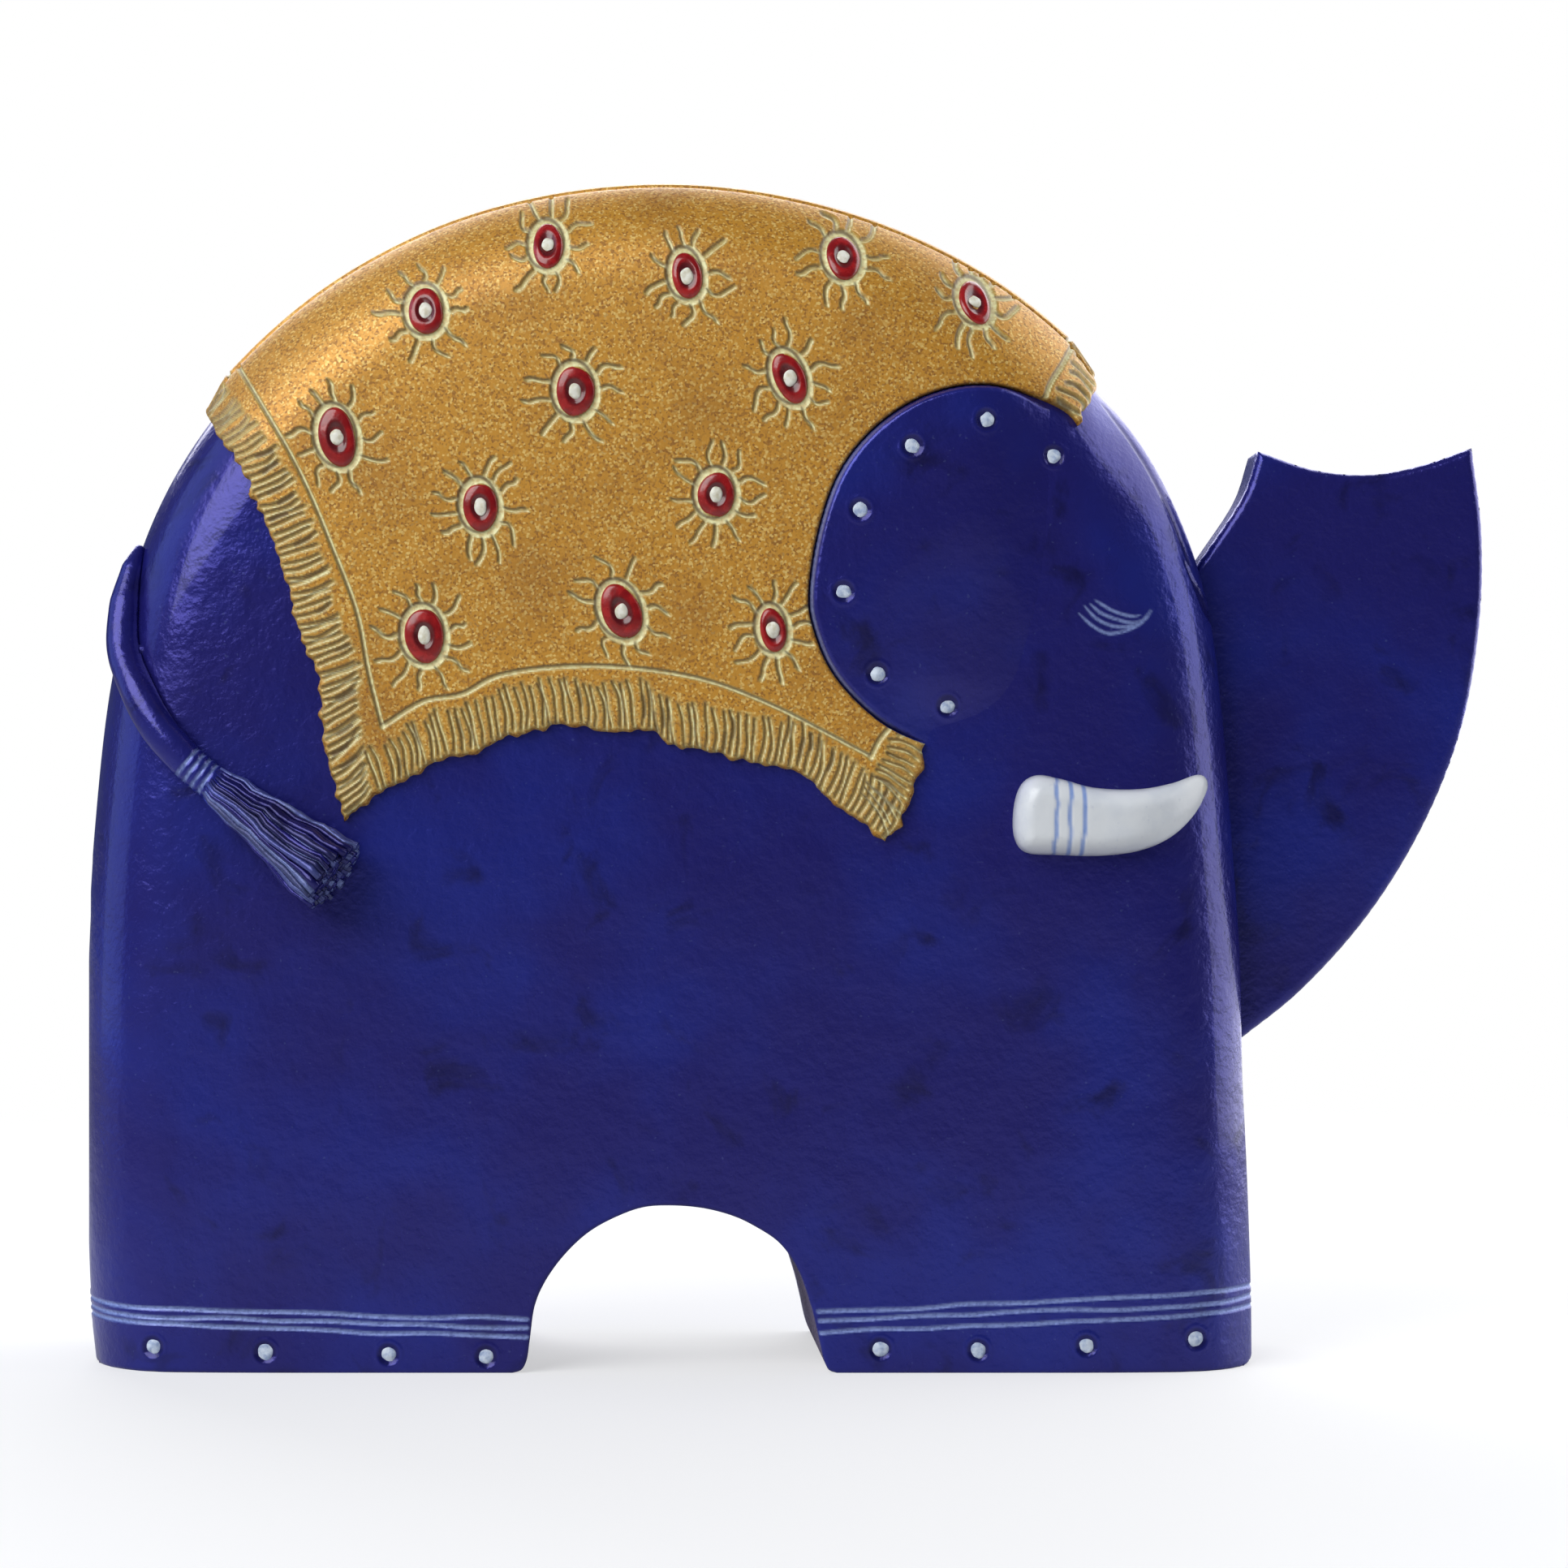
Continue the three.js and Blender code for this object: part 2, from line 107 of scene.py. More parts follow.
def run_along(points):
    """How far along the polyline each of its points is."""
    return np.r_[0, np.cumsum(np.linalg.norm(np.diff(points, axis=0), axis=1))]


def spaced(points, spacing):
    """The same polyline with its points evenly spaced; both ends stay."""
    points = np.asarray(points, float)
    run = run_along(points)
    count = max(int(round(run[-1] / spacing)), 1)
    at = np.linspace(0, run[-1], count + 1)
    return np.column_stack([np.interp(at, run, points[:, k]) for k in range(points.shape[1])])


def join(*stretches):
    """Stretches end to end as one closed outline, counter-clockwise, no point twice."""
    points = [np.asarray(stretches[0])[0]]
    for p in np.vstack(stretches):
        if math.dist(p, points[-1]) > 1e-4:
            points.append(p)
    if math.dist(points[0], points[-1]) < 1e-4:
        points.pop()
    points = np.array(points)
    x, z = points.T
    area = np.sum(x * np.roll(z, -1) - np.roll(x, -1) * z)
    return points if area > 0 else points[::-1]


# %% [markdown]
# ## The shape of the flank
# The body board's edge is a flat band that turns over in a quarter ellipse and then swells
# gently to full thickness. So how far out the flank stands depends on how far in from the
# outline a point is, and along the head's front edge on how much fuller it is cut there.
# `off_flank` carries any drawing onto that surface and lifts it straight off.

# %% The flank
BACK = [
    (REAR_FOOT_X, 0), (-99.6, 10), (-100.1, 32), (-100, 54), (-98.8, 76), (-96.2, 98), (-91.2, 118),
    (-82, 134.2), (-67.4, 149), (-51, 158.7), (-35, 163.7), (-18, 165.5), (-2, 164.1),
    (14, 159.6), (29, 152), (41.4, 141.8), (50, 131), (56, 119.5), (59.8, 107.5), (61.9, 92),
    (63.6, 70), (65, 50), (66.2, 30), (66.9, 10), (FRONT_FOOT_X, 0),
]
GUIDE_STEP = 0.5
PAST_FLOOR = (0, 40)
back_line = smooth(BACK, GUIDE_STEP)
edge_guide = np.vstack([back_line[0] - PAST_FLOOR, back_line, back_line[-1] - PAST_FLOOR])
edge_guide = spaced(edge_guide, GUIDE_STEP)
edge_way = np.gradient(edge_guide, axis=0)
edge_way /= np.linalg.norm(edge_way, axis=1)[:, None]
edge_out = np.column_stack([-edge_way[:, 1], edge_way[:, 0]])
edge_tree = KDTree(len(edge_guide))
for i, (x, z) in enumerate(edge_guide):
    edge_tree.insert((x, z, 0), i)
edge_tree.balance()


def from_edge(xz):
    """How far in from the body's outline each point is, and which way is straight out."""
    xz = np.asarray(xz, float)
    near = np.array([edge_tree.find((x, z, 0))[1] for x, z in xz])
    near = np.clip(near, 1, len(edge_guide) - 2)
    along = np.einsum("ij,ij->i", xz - edge_guide[near], edge_way[near])
    share = np.clip(along / GUIDE_STEP, -0.5, 0.5)[:, None]
    out = edge_out[near] + share * (edge_out[near + 1] - edge_out[near - 1]) / 2
    out /= np.linalg.norm(out, axis=1)[:, None]
    foot = edge_guide[near] + along[:, None] * edge_way[near]
    return np.einsum("ij,ij->i", foot - xz, out), out


def quarter(share):
    """How far out a quarter ellipse is at a share of its reach."""
    return np.sqrt(1 - np.clip(1 - share, 0, 1) ** 2)


def ease(share):
    """0 to 1, with a soft start and a soft stop."""
    share = np.clip(share, 0, 1)
    return share * share * (3 - 2 * share)


def skipped(x):
    """How far round the ellipse the edge starts to turn, which makes the head's edge fuller."""
    return FRONT_SKIP * ease((x - FULLER_FROM) / FULLER_OVER)


def flank_half(inset, skip=0):
    """Distance of the flank from the mid-plane."""
    turn = quarter((inset + skip) / (ROUND_REACH + skip))
    return RIM_HALF + ROUND_DEPTH * turn + CROWN_DEPTH * quarter(inset / CROWN_REACH)


def flank_slope(inset, skip=0):
    """How steeply the flank still rises there."""
    slope = 0
    for depth, reach, start in ((ROUND_DEPTH, ROUND_REACH, skip), (CROWN_DEPTH, CROWN_REACH, 0)):
        share = np.clip((inset + start) / (reach + start), 1e-6, 1)
        slope = slope + depth / (reach + start) * (1 - share) / quarter(share)
    return slope


def off_flank(xz, lift):
    """Points of the right flank at x and z, lifted straight off its surface."""
    xz = np.asarray(xz, float)
    inset, out = from_edge(xz)
    inset = np.clip(inset, 0, None)
    skip = skipped(xz[:, 0])
    slope = flank_slope(inset, skip)
    length = np.hypot(1, slope)
    moved = xz + out * (lift * slope / length)[:, None]
    return np.column_stack([moved[:, 0], -(flank_half(inset, skip) + lift / length), moved[:, 1]])


sample_half = flank_half(np.array([0, 5, ROUND_REACH, CROWN_REACH])).round(1)
print(f"outline {len(back_line)} points, flank {sample_half} mm off the mid-plane")

# %% [markdown]
# ## A drawing board for tool marks
# The lines, rays and fringe on this piece were pressed in with a tool and filled with paint.
# Modelling each as its own object would give thousands of slivers, and a bump map would
# leave them flat. So the marks are drawn on a fine grid of heights, as a gouge would cut
# them, with the paint recorded beside. Later the mesh reads both: the height moves its
# vertices, and the paint becomes an attribute that the material mixes by.

# %% The drawing board
class Board:
    """Heights and paint over a stretch of the surface, in millimetres."""

    def __init__(self, low, high, step, layers=()):
        self.low = np.array(low, float)
        self.step = step
        size = np.ceil((np.array(high) - self.low) / step).astype(int) + 1
        self.shape = (size[1], size[0])
        self.cut = np.zeros(self.shape, np.float32)
        self.lip = np.zeros(self.shape, np.float32)
        self.busy = np.zeros(self.shape, bool)
        self.paint = {name: np.zeros(self.shape, np.float32) for name in layers}

    def dab(self, at, radius, cut, layer, strength=1.0, lip=0.0, lip_width=0.45):
        """One press of a round tool: a bowl with a low lip round it, and paint in it."""
        reach = radius * (1 + lip_width) + 0.25
        c, r = (np.array(at) - self.low) / self.step
        n = int(reach / self.step) + 1
        c0, c1 = max(int(c) - n, 0), min(int(c) + n + 2, self.shape[1])
        r0, r1 = max(int(r) - n, 0), min(int(r) + n + 2, self.shape[0])
        if c0 >= c1 or r0 >= r1:
            return
        dx = (np.arange(c0, c1) - c) * self.step
        dz = (np.arange(r0, r1) - r) * self.step
        d = np.hypot(dx[None, :], dz[:, None]) / radius
        spot = (slice(r0, r1), slice(c0, c1))
        bowl = cut * np.clip(1 - d**2, 0, 1)
        self.cut[spot] = np.maximum(self.cut[spot], bowl)
        if lip:
            ridge = lip * np.clip(1 - np.abs(d - 1 - lip_width / 2) / (lip_width / 2 + 0.1), 0, 1)
            self.lip[spot] = np.maximum(self.lip[spot], ridge)
        mark = strength * np.clip((1.06 - d) / 0.16, 0, 1)
        self.paint[layer][spot] = np.maximum(self.paint[layer][spot], mark)
        self.busy[spot] |= d < reach / radius

    def stroke(self, points, radius, cut, ends=(0.7, 0.7), **dab):
        """A tool drawn along points; ends say how much thinner it starts and stops."""
        line = spaced(points, max(0.12, radius * 0.4))
        for k, at in enumerate(line):
            share = k / max(len(line) - 1, 1)
            thin = min(ends[0] + 4 * share, ends[1] + 4 * (1 - share), 1)
            self.dab(at, radius * thin, cut * thin, **dab)

    def groove(self, line, radius, cut, ends, paint):
        """A groove with paint in it, a painted highlight along its lower lip and painted shade along its
        upper one.
        """
        side = np.array([0.7, -0.7]) * radius
        line = np.asarray(line)
        self.stroke(line, radius, cut, ends, layer="pale", strength=paint, lip=0.1, lip_width=0.35)
        # painted highlight along the lower lip
        self.stroke(line + side * 0.95, radius * 0.36, 0.0, ends, layer="pale", strength=0.95)
        # painted shade along the upper lip
        self.stroke(line - side * 0.95, radius * 0.36, 0.0, ends, layer="brown_and_shade", strength=0.92)

    def soft(self, values):
        """A light blur, so that neighbouring presses run together."""
        for axis in (0, 1):
            values = (np.roll(values, 1, axis) + 2 * values + np.roll(values, -1, axis)) / 4
        return values

    def finish(self):
        """Settles the heights and the paint, and counts the marks for any_busy."""
        self.height = self.soft(self.lip * (self.cut < 0.02) - self.cut)
        self.paint = {name: self.soft(values) for name, values in self.paint.items()}
        self.counts = np.pad(self.busy.astype(np.int32).cumsum(0).cumsum(1), ((1, 0), (1, 0)))
        return self

    def mark_busy(self, points, reach):
        """Asks for a fine mesh along a line that holds no tool mark."""
        for at in spaced(points, reach / 2):
            c, r = ((np.array(at) - self.low) / self.step).astype(int)
            n = int(reach / self.step)
            self.busy[max(r - n, 0) : max(r + n, 0), max(c - n, 0) : max(c + n, 0)] = True

    def read(self, values, xz):
        """Values between grid points, blended from the four round each place."""
        place = (np.asarray(xz) - self.low) / self.step
        place = np.clip(place, 0, np.array(self.shape[::-1]) - 1.001)
        c, r = np.floor(place).astype(int).T
        u, v = (place - np.floor(place)).T
        top = values[r, c] * (1 - u) + values[r, c + 1] * u
        low = values[r + 1, c] * (1 - u) + values[r + 1, c + 1] * u
        return top * (1 - v) + low * v

    def any_busy(self, cells, size):
        """Whether anything was marked inside each square cell."""
        limit = np.array(self.shape[::-1])
        a = np.clip(((cells - size / 2 - self.low) / self.step).astype(int), 0, limit)
        b = np.clip(((cells + size / 2 - self.low) / self.step).astype(int) + 1, 0, limit)
        n = self.counts
        return n[b[:, 1], b[:, 0]] - n[a[:, 1], b[:, 0]] - n[b[:, 1], a[:, 0]] + n[a[:, 1], a[:, 0]] > 0


# %% [markdown]
# ## From a drawing to a mesh
# A mesh fine enough for the marks everywhere would be far too heavy, so the points are
# sparse on plain ground and dense only where the board is marked. Squares are split in four
# wherever they hold a mark, a few times over, and a Delaunay triangulation joins all the
# points inside the outline into well-shaped triangles.

# %% Triangulating the inside of an outline
def inside(outline, points):
    """Which points lie inside the outline, by counting the edges to their right."""
    a, b = outline, np.roll(outline, -1, axis=0)
    result = np.zeros(len(points), bool)
    for start in range(0, len(points), 4000):
        x, z = points[start : start + 4000].T
        spans = (a[:, 1][None] > z[:, None]) != (b[:, 1][None] > z[:, None])
        rise = np.where(b[:, 1] == a[:, 1], 1e-12, b[:, 1] - a[:, 1])
        cross = (b[:, 0] - a[:, 0]) * (z[:, None] - a[:, 1]) / rise + a[:, 0]
        result[start : start + 4000] = (np.sum(spans & (x[:, None] < cross), axis=1) % 2).astype(bool)
    return result


def tree_of(points):
    """A search tree of points, for distance_to."""
    tree = KDTree(len(points))
    for i, (x, z) in enumerate(points):
        tree.insert((x, z, 0), i)
    tree.balance()
    return tree


def distance_to(tree, points):
    return np.array([tree.find((x, z, 0))[2] for x, z in points])


def triangulate(loops, keep, fixed, board, coarse, splits):
    """Points and triangles that fill what keep() accepts, cut cleanly along the loops."""
    rows = np.vstack(loops + fixed)
    edges, start = [], 0
    for loop in loops:
        n = len(loop)
        edges += [(start + i, start + (i + 1) % n) for i in range(n)]
        start += n
    low, high = loops[0].min(0), loops[0].max(0)
    grid = [np.arange(low[k] + coarse / 3, high[k], coarse) for k in (0, 1)]
    cells = np.stack(np.meshgrid(*grid), -1).reshape(-1, 2)
    size, kept, near = coarse, [], tree_of(rows)
    for level in range(splits + 1):
        hit = board.any_busy(cells, size) if level < splits else np.zeros(len(cells), bool)
        clear = cells[~hit]
        kept.append(clear[distance_to(near, clear) > 0.55 * size])
        corners = ((-1, -1), (1, -1), (-1, 1), (1, 1))
        cells = np.vstack([cells[hit] + np.array(c) * size / 4 for c in corners])
        size /= 2
    loose = np.vstack(kept)
    points = np.vstack([rows, loose[keep(loose)]])
    made = delaunay_2d_cdt([Vector(p) for p in points], edges, [], 0, 1e-7)
    points = np.array([tuple(p) for p in made[0]])
    triangles = np.array([f for f in made[2] if len(f) == 3])
    a, b, c = (points[triangles[:, k]] for k in range(3))
    turn = np.cross(b - a, c - a)
    triangles[turn < 0] = triangles[turn < 0][:, ::-1]
    triangles = triangles[keep((a + b + c) / 3) & (np.abs(turn) > 1e-7)]
    used = np.unique(triangles)
    order = np.full(len(points), -1)
    order[used] = np.arange(len(used))
    return points[used], order[triangles]


def border_of(triangles):
    """The edges with a triangle on one side only, each as its triangle turns."""
    ways = np.vstack([triangles[:, [0, 1]], triangles[:, [1, 2]], triangles[:, [2, 0]]])
    there = {(a, b) for a, b in ways.tolist()}
    return np.array([(a, b) for a, b in sorted(there) if (b, a) not in there])


# %% Making a Blender mesh
def make_piece(name, points, faces, material, attributes):
    """A mesh object from millimetre points on the mid-plane frame."""
    place = (np.asarray(points, float) + (mid_x, mid_y, 0)) * MM
    sizes = np.array([len(f) for f in faces])
    mesh = bpy.data.meshes.new(name)
    mesh.vertices.add(len(place))
    mesh.vertices.foreach_set("co", place.astype(np.float32).ravel())
    mesh.loops.add(int(sizes.sum()))
    corners = np.concatenate([np.asarray(f) for f in faces])
    mesh.loops.foreach_set("vertex_index", corners.astype(np.int32))
    mesh.polygons.add(len(sizes))
    mesh.polygons.foreach_set("loop_start", np.r_[0, np.cumsum(sizes)[:-1]].astype(np.int32))
    mesh.polygons.foreach_set("use_smooth", np.full(len(sizes), True))
    mesh.update(calc_edges=True)
    mesh.validate()
    for key, values in attributes.items():
        layer = mesh.attributes.new(key, "FLOAT", "POINT")
        layer.data.foreach_set("value", np.asarray(values, np.float32))
    mesh.materials.append(material)
    piece = bpy.data.objects.new(name, mesh)
    bpy.context.scene.collection.objects.link(piece)
    print(f"{name}: {len(place)} vertices, {len(sizes)} faces")
    return piece


def stands_for(piece, slot, *nodes):
    """The piece takes over from its CAD nodes."""
    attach(piece, "root")
    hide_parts(*nodes)


# %% [markdown]
# ## Shader maths as plain expressions
# A node tree is easier to read when its sums look like sums. `Value` wraps a socket, so that
# `1 - mask * 0.5` adds the Math nodes by itself, and `Graph.node` adds any other node from
# its type, its settings and what goes into its sockets. The same class serves the geometry
# trees further down.

# %% A small language for node trees
class Value:
    """One output socket, on which sums can be written."""

    def __init__(self, graph, node, out=0):
        self.graph, self.owner = graph, node
        self.socket = node.outputs[out]

    def sum(self, operation, *others):
        inputs = {i: v for i, v in enumerate((self,) + others)}
        return self.graph.node("ShaderNodeMath", {"operation": operation}, inputs)

    def __add__(self, other):
        return self.sum("ADD", other)

    def __sub__(self, other):
        return self.sum("SUBTRACT", other)

    def __rsub__(self, other):
        return (self * -1) + other

    def __mul__(self, other):
        return self.sum("MULTIPLY", other)

    def __truediv__(self, other):
        return self.sum("DIVIDE", other)

    def __pow__(self, other):
        return self.sum("POWER", other)

    __radd__, __rmul__ = __add__, __mul__

    def clamp(self):
        return self.graph.node("ShaderNodeClamp", {}, {0: self})

    def step(self, low, high):
        """0 below low, 1 above high, smooth between."""
        values = {"Value": self, "From Min": low, "From Max": high}
        return self.graph.node("ShaderNodeMapRange", {"interpolation_type": "SMOOTHSTEP"}, values)

    def out(self, name):
        return Value(self.graph, self.owner, name)


class Graph:
    """A node tree under construction."""

    def __init__(self, tree):
        self.tree = tree

    def node(self, kind, settings=None, values=None, out=0):
        node = self.tree.nodes.new(kind)
        for key, value in (settings or {}).items():
            setattr(node, key, value)
        for key, value in (values or {}).items():
            if isinstance(value, Value):
                self.tree.links.new(value.socket, node.inputs[key])
            else:
                node.inputs[key].default_value = value
        return Value(self, node, out)


def srgb(r, g, b):
    """A colour given 0 to 255, as the linear values that a shader wants."""
    def linear(c):
        c /= 255
        return c / 12.92 if c <= 0.04045 else ((c + 0.055) / 1.055) ** 2.4

    return (linear(r), linear(g), linear(b), 1)


class Finish(Graph):
    """A material under construction, on Object coordinates, which are metres here."""

    def __init__(self, name, **constants):
        self.material = bpy.data.materials.new(name)
        self.material.use_nodes = True
        super().__init__(self.material.node_tree)
        self.tree.nodes.clear()
        self.shader = self.tree.nodes.new("ShaderNodeBsdfPrincipled")
        output = self.tree.nodes.new("ShaderNodeOutputMaterial")
        self.tree.links.new(self.shader.outputs[0], output.inputs[0])
        for key, value in constants.items():
            self.shader.inputs[key.replace("_", " ")].default_value = value
        self.place = self.node("ShaderNodeTexCoord", out="Object")

    def noise(self, size, detail, **values):
        """Noise with features about size millimetres across."""
        inputs = {"Vector": self.place, "Scale": 1 / (size * MM), "Detail": detail}
        return self.node("ShaderNodeTexNoise", {}, inputs | values)

    def mix(self, factor, a, b):
        return self.node("ShaderNodeMix", {"data_type": "RGBA"}, {0: factor, 6: a, 7: b}, 2)

    def attribute(self, name):
        return self.node("ShaderNodeAttribute", {"attribute_name": name}, {}, "Fac")

    def bump(self, height, depth, base=None):
        """A bump whose full height is depth millimetres."""
        values = {"Height": height, "Distance": depth * MM, "Strength": 1.0}
        if base:
            values["Normal"] = base
        return self.node("ShaderNodeBump", {}, values)

    def finish(self, **links):
        for key, value in links.items():
            self.tree.links.new(value.socket, self.shader.inputs[key.replace("_", " ")])
        return self.material


# %% [markdown]
# ## The finishes
# The blue is a thick ultramarine lacquer, brushed on: glossy, with the fine skin that thick
# paint dries to, cloudy at random, and pale blue wherever a tool mark was filled. Painted
# shade darkens the dot pits, the creases and some tassel strands, and a painted highlight
# lightens the ear's rear edge and other tassel strands.

# %% Blue lacquer
NAVY = srgb(35, 33, 113)
NAVY_LIGHT = srgb(31, 50, 154)
NAVY_DARK = srgb(14, 11, 48)
PALE_BLUE = srgb(150, 170, 222)
RAW_GREY = srgb(136, 126, 146)
RAW_DARK = srgb(66, 58, 78)
# the bare place lies between these x, below this height and this far in from either flank
RAW_REAR, RAW_FRONT, RAW_TOP, RAW_INSET = -3, 9, 19, 1.2


def raw_patch(m):
    """A bare place on the arch's front wall, where the brush never reached."""
    x, y, z = (m.node("ShaderNodeSeparateXYZ", {}, {0: m.place}, axis) / MM for axis in "XYZ")
    wander = 5 * m.noise(6, 2.0)
    front_wall = (x - mid_x - RAW_REAR).step(0, 1) * (RAW_FRONT + mid_x - x).step(0, 1)
    low_down = (RAW_TOP - z - wander).step(0, 0.6)
    near_side = (y - mid_y + BODY_HALF - RAW_INSET).step(0, 0.5)
    far_side = (BODY_HALF - RAW_INSET - y + mid_y - 0.6 * wander).step(0, 0.5)
    return front_wall * low_down * near_side * far_side


def blue_lacquer():
    m = Finish(
        "ultramarine_lacquer", Coat_Roughness=0.07,
        Specular_Tint=srgb(176, 172, 255), Specular_IOR_Level=0.8,
    )
    clouds = m.noise(26, 3.0)
    smears = m.noise(9, 4.0, Distortion=0.6)
    pits = m.node("ShaderNodeTexVoronoi", {}, {"Vector": m.place, "Scale": 1 / (3.4 * MM)})
    colour = m.mix(clouds.step(0.38, 0.7) * 0.55, NAVY, NAVY_LIGHT)
    colour = m.mix(smears.step(0.56, 0.76) * 0.7, colour, NAVY_DARK)
    speck = m.noise(0.55, 0.0).step(0.8, 0.84)
    colour = m.mix(speck * 0.08, colour, PALE_BLUE)
    # pale: paint in the tool marks, plus a painted highlight along the ear's rear edge and on some tassel
    # strands
    paint = m.attribute("pale").clamp()
    brushed = m.noise(0.5, 2.0).step(0.25, 0.6)
    colour = m.mix(paint * (0.55 + 0.45 * brushed), colour, PALE_BLUE)
    # painted shade: darker in the dot pits, the crease and wrinkles by the trunk, and on some tassel
    # strands
    colour = m.mix(m.attribute("painted_shade").clamp() * 0.7, colour, NAVY_DARK)
    raw = raw_patch(m)
    colour = m.mix(raw, colour, m.mix(m.noise(0.4, 2.0).step(0.4, 0.6), RAW_GREY, RAW_DARK))
    skin = m.noise(1.3, 2.0)
    fine = m.noise(0.5, 1.0)
    wave = m.noise(7, 1.0)
    normal = m.bump(wave, 0.3)
    normal = m.bump(skin, 0.13, normal)
    normal = m.bump(fine, 0.03, normal)
    normal = m.bump(pits.step(0.0, 0.12), 0.01, normal)
    rough = 0.22 + 0.12 * smears + 0.3 * paint + 0.6 * raw
    covered = 1 - raw
    return m.finish(
        Base_Color=colour, Roughness=rough, Normal=normal,
        Metallic=covered * 0.3, Coat_Weight=covered * 0.25,
    )


lacquer = blue_lacquer()

# %% [markdown]
# The gold is bronze powder in varnish. Its grains, about a third of a millimetre across, are
# painted some bright and some nearly brown: painted glints and painted shade of flakes that
# lie at their own angles. `pale` is the olive-cream paint wiped into the marks. It turns cream
# where it is strongest, which is the painted highlight along each groove's lower lip. The
# second layer is painted shade along each groove's upper lip, and brown in the deeper cuts
# of some fringe grooves.

# %% Gold paint
GOLD = srgb(211, 150, 40)
GOLD_DEEP = srgb(132, 78, 14)
GOLD_GLINT = srgb(244, 208, 118)
OLIVE = srgb(180, 164, 97)
CREAM = srgb(255, 255, 197)
BROWN = srgb(74, 44, 18)


def gold_paint():
    m = Finish("bronze_gold", Specular_IOR_Level=0.6, Coat_Weight=0.3, Coat_Roughness=0.5)
    flake = m.node("ShaderNodeTexVoronoi", {}, {"Vector": m.place, "Scale": 1 / (0.3 * MM)}, "Color")
    grain = m.node("ShaderNodeSeparateColor", {}, {0: flake})
    shade, glint = grain.out("Red"), grain.out("Green")
    drift = m.noise(20, 3.0)
    # grains painted darker and brighter: painted shade and painted glints of tilted flakes
    colour = m.mix(shade.step(0.5, 1.0) * 0.7, GOLD, GOLD_DEEP)
    colour = m.mix(glint.step(0.7, 1.0) * 0.85, colour, GOLD_GLINT)
    colour = m.mix(drift.step(0.45, 0.75) * 0.35, colour, GOLD_DEEP)
    pale = m.attribute("pale").clamp()
    brown_and_shade = m.attribute("brown_and_shade").clamp()
    wiped = m.noise(0.7, 3.0).step(0.3, 0.62)
    # cream where the pale layer is strongest: the painted highlight on the grooves' lower lips
    paint = m.mix(pale.step(0.72, 1.0) * (0.6 + 0.4 * wiped), OLIVE, CREAM)
    colour = m.mix(pale * (0.7 + 0.3 * wiped), colour, paint)
    # painted shade on the grooves' upper lips, and brown in some fringe grooves
    colour = m.mix(brown_and_shade * 0.8, colour, BROWN)
    metal = 0.3 * (1 - pale) * (1 - 0.5 * brown_and_shade)
    rough = 0.42 + 0.16 * shade + 0.1 * pale
    normal = m.bump(m.noise(5, 2.0), 0.12)
    normal = m.bump(m.noise(0.35, 1.0), 0.03, normal)
    return m.finish(Base_Color=colour, Roughness=rough, Metallic=metal, Normal=normal)


gold = gold_paint()

# %% [markdown]
# The small finishes are a glossy red enamel, two thick dot paints, cool white on the tusks
# with blue bands wiped into three cuts, and the bare turned wood of pins that nobody sees.

# %% Enamel, dots, tusk white and bare wood
def red_enamel():
    m = Finish("red_enamel", Coat_Weight=0.5, Coat_Roughness=0.05)
    cloud = m.noise(1.6, 2.0)
    colour = m.mix(cloud.step(0.35, 0.7), srgb(138, 8, 10), srgb(172, 22, 20))
    # painted shade in the dimple
    colour = m.mix(m.attribute("painted_shade").clamp() * 0.8, colour, srgb(66, 6, 10))
    normal = m.bump(m.noise(0.9, 1.0), 0.05)
    return m.finish(Base_Color=colour, Roughness=0.22 + 0.1 * cloud, Normal=normal)


def dot_paint(name, light, dark):
    m = Finish(name, Coat_Weight=0.12, Coat_Roughness=0.3)
    cloud = m.noise(0.8, 3.0)
    colour = m.mix(cloud.step(0.35, 0.75), light, dark)
    normal = m.bump(m.noise(0.6, 2.0), 0.06)
    return m.finish(Base_Color=colour, Roughness=0.45 + 0.2 * cloud, Normal=normal)


def tusk_white():
    m = Finish("tusk_white", Coat_Weight=0.35, Coat_Roughness=0.12)
    cloud = m.noise(6, 4.0)
    streak = m.noise(1.2, 3.0)
    colour = m.mix(cloud.step(0.4, 0.75) * 0.5, srgb(232, 236, 238), srgb(205, 212, 222))
    colour = m.mix(streak.step(0.62, 0.8) * 0.4, colour, srgb(184, 192, 208))
    band = m.attribute("pale").clamp()
    colour = m.mix(band * (0.6 + 0.4 * streak), colour, srgb(96, 138, 214))
    # painted shade along the tusk's edge
    colour = m.mix(m.attribute("painted_shade").clamp() * 0.55, colour, srgb(120, 124, 150))
    normal = m.bump(m.noise(3, 2.0), 0.12)
    normal = m.bump(streak, 0.03, normal)
    return m.finish(Base_Color=colour, Roughness=0.28 + 0.15 * cloud, Normal=normal)


def bare_wood():
    m = Finish("turned_wood")
    grain = m.node("ShaderNodeTexWave", {"bands_direction": "Z"}, {
        "Vector": m.place, "Scale": 260.0, "Distortion": 5.0, "Detail": 3.0, "Detail Scale": 1.5,
    })
    fibre = m.noise(0.5, 3.0)
    value = grain.out("Fac")
    colour = m.mix(value.step(0.2, 0.8), srgb(196, 152, 100), srgb(158, 112, 66))
    colour = m.mix(fibre.step(0.5, 0.8) * 0.5, colour, srgb(120, 80, 44))
    return m.finish(Base_Color=colour, Roughness=0.55 + 0.2 * fibre, Normal=m.bump(fibre, 0.05))


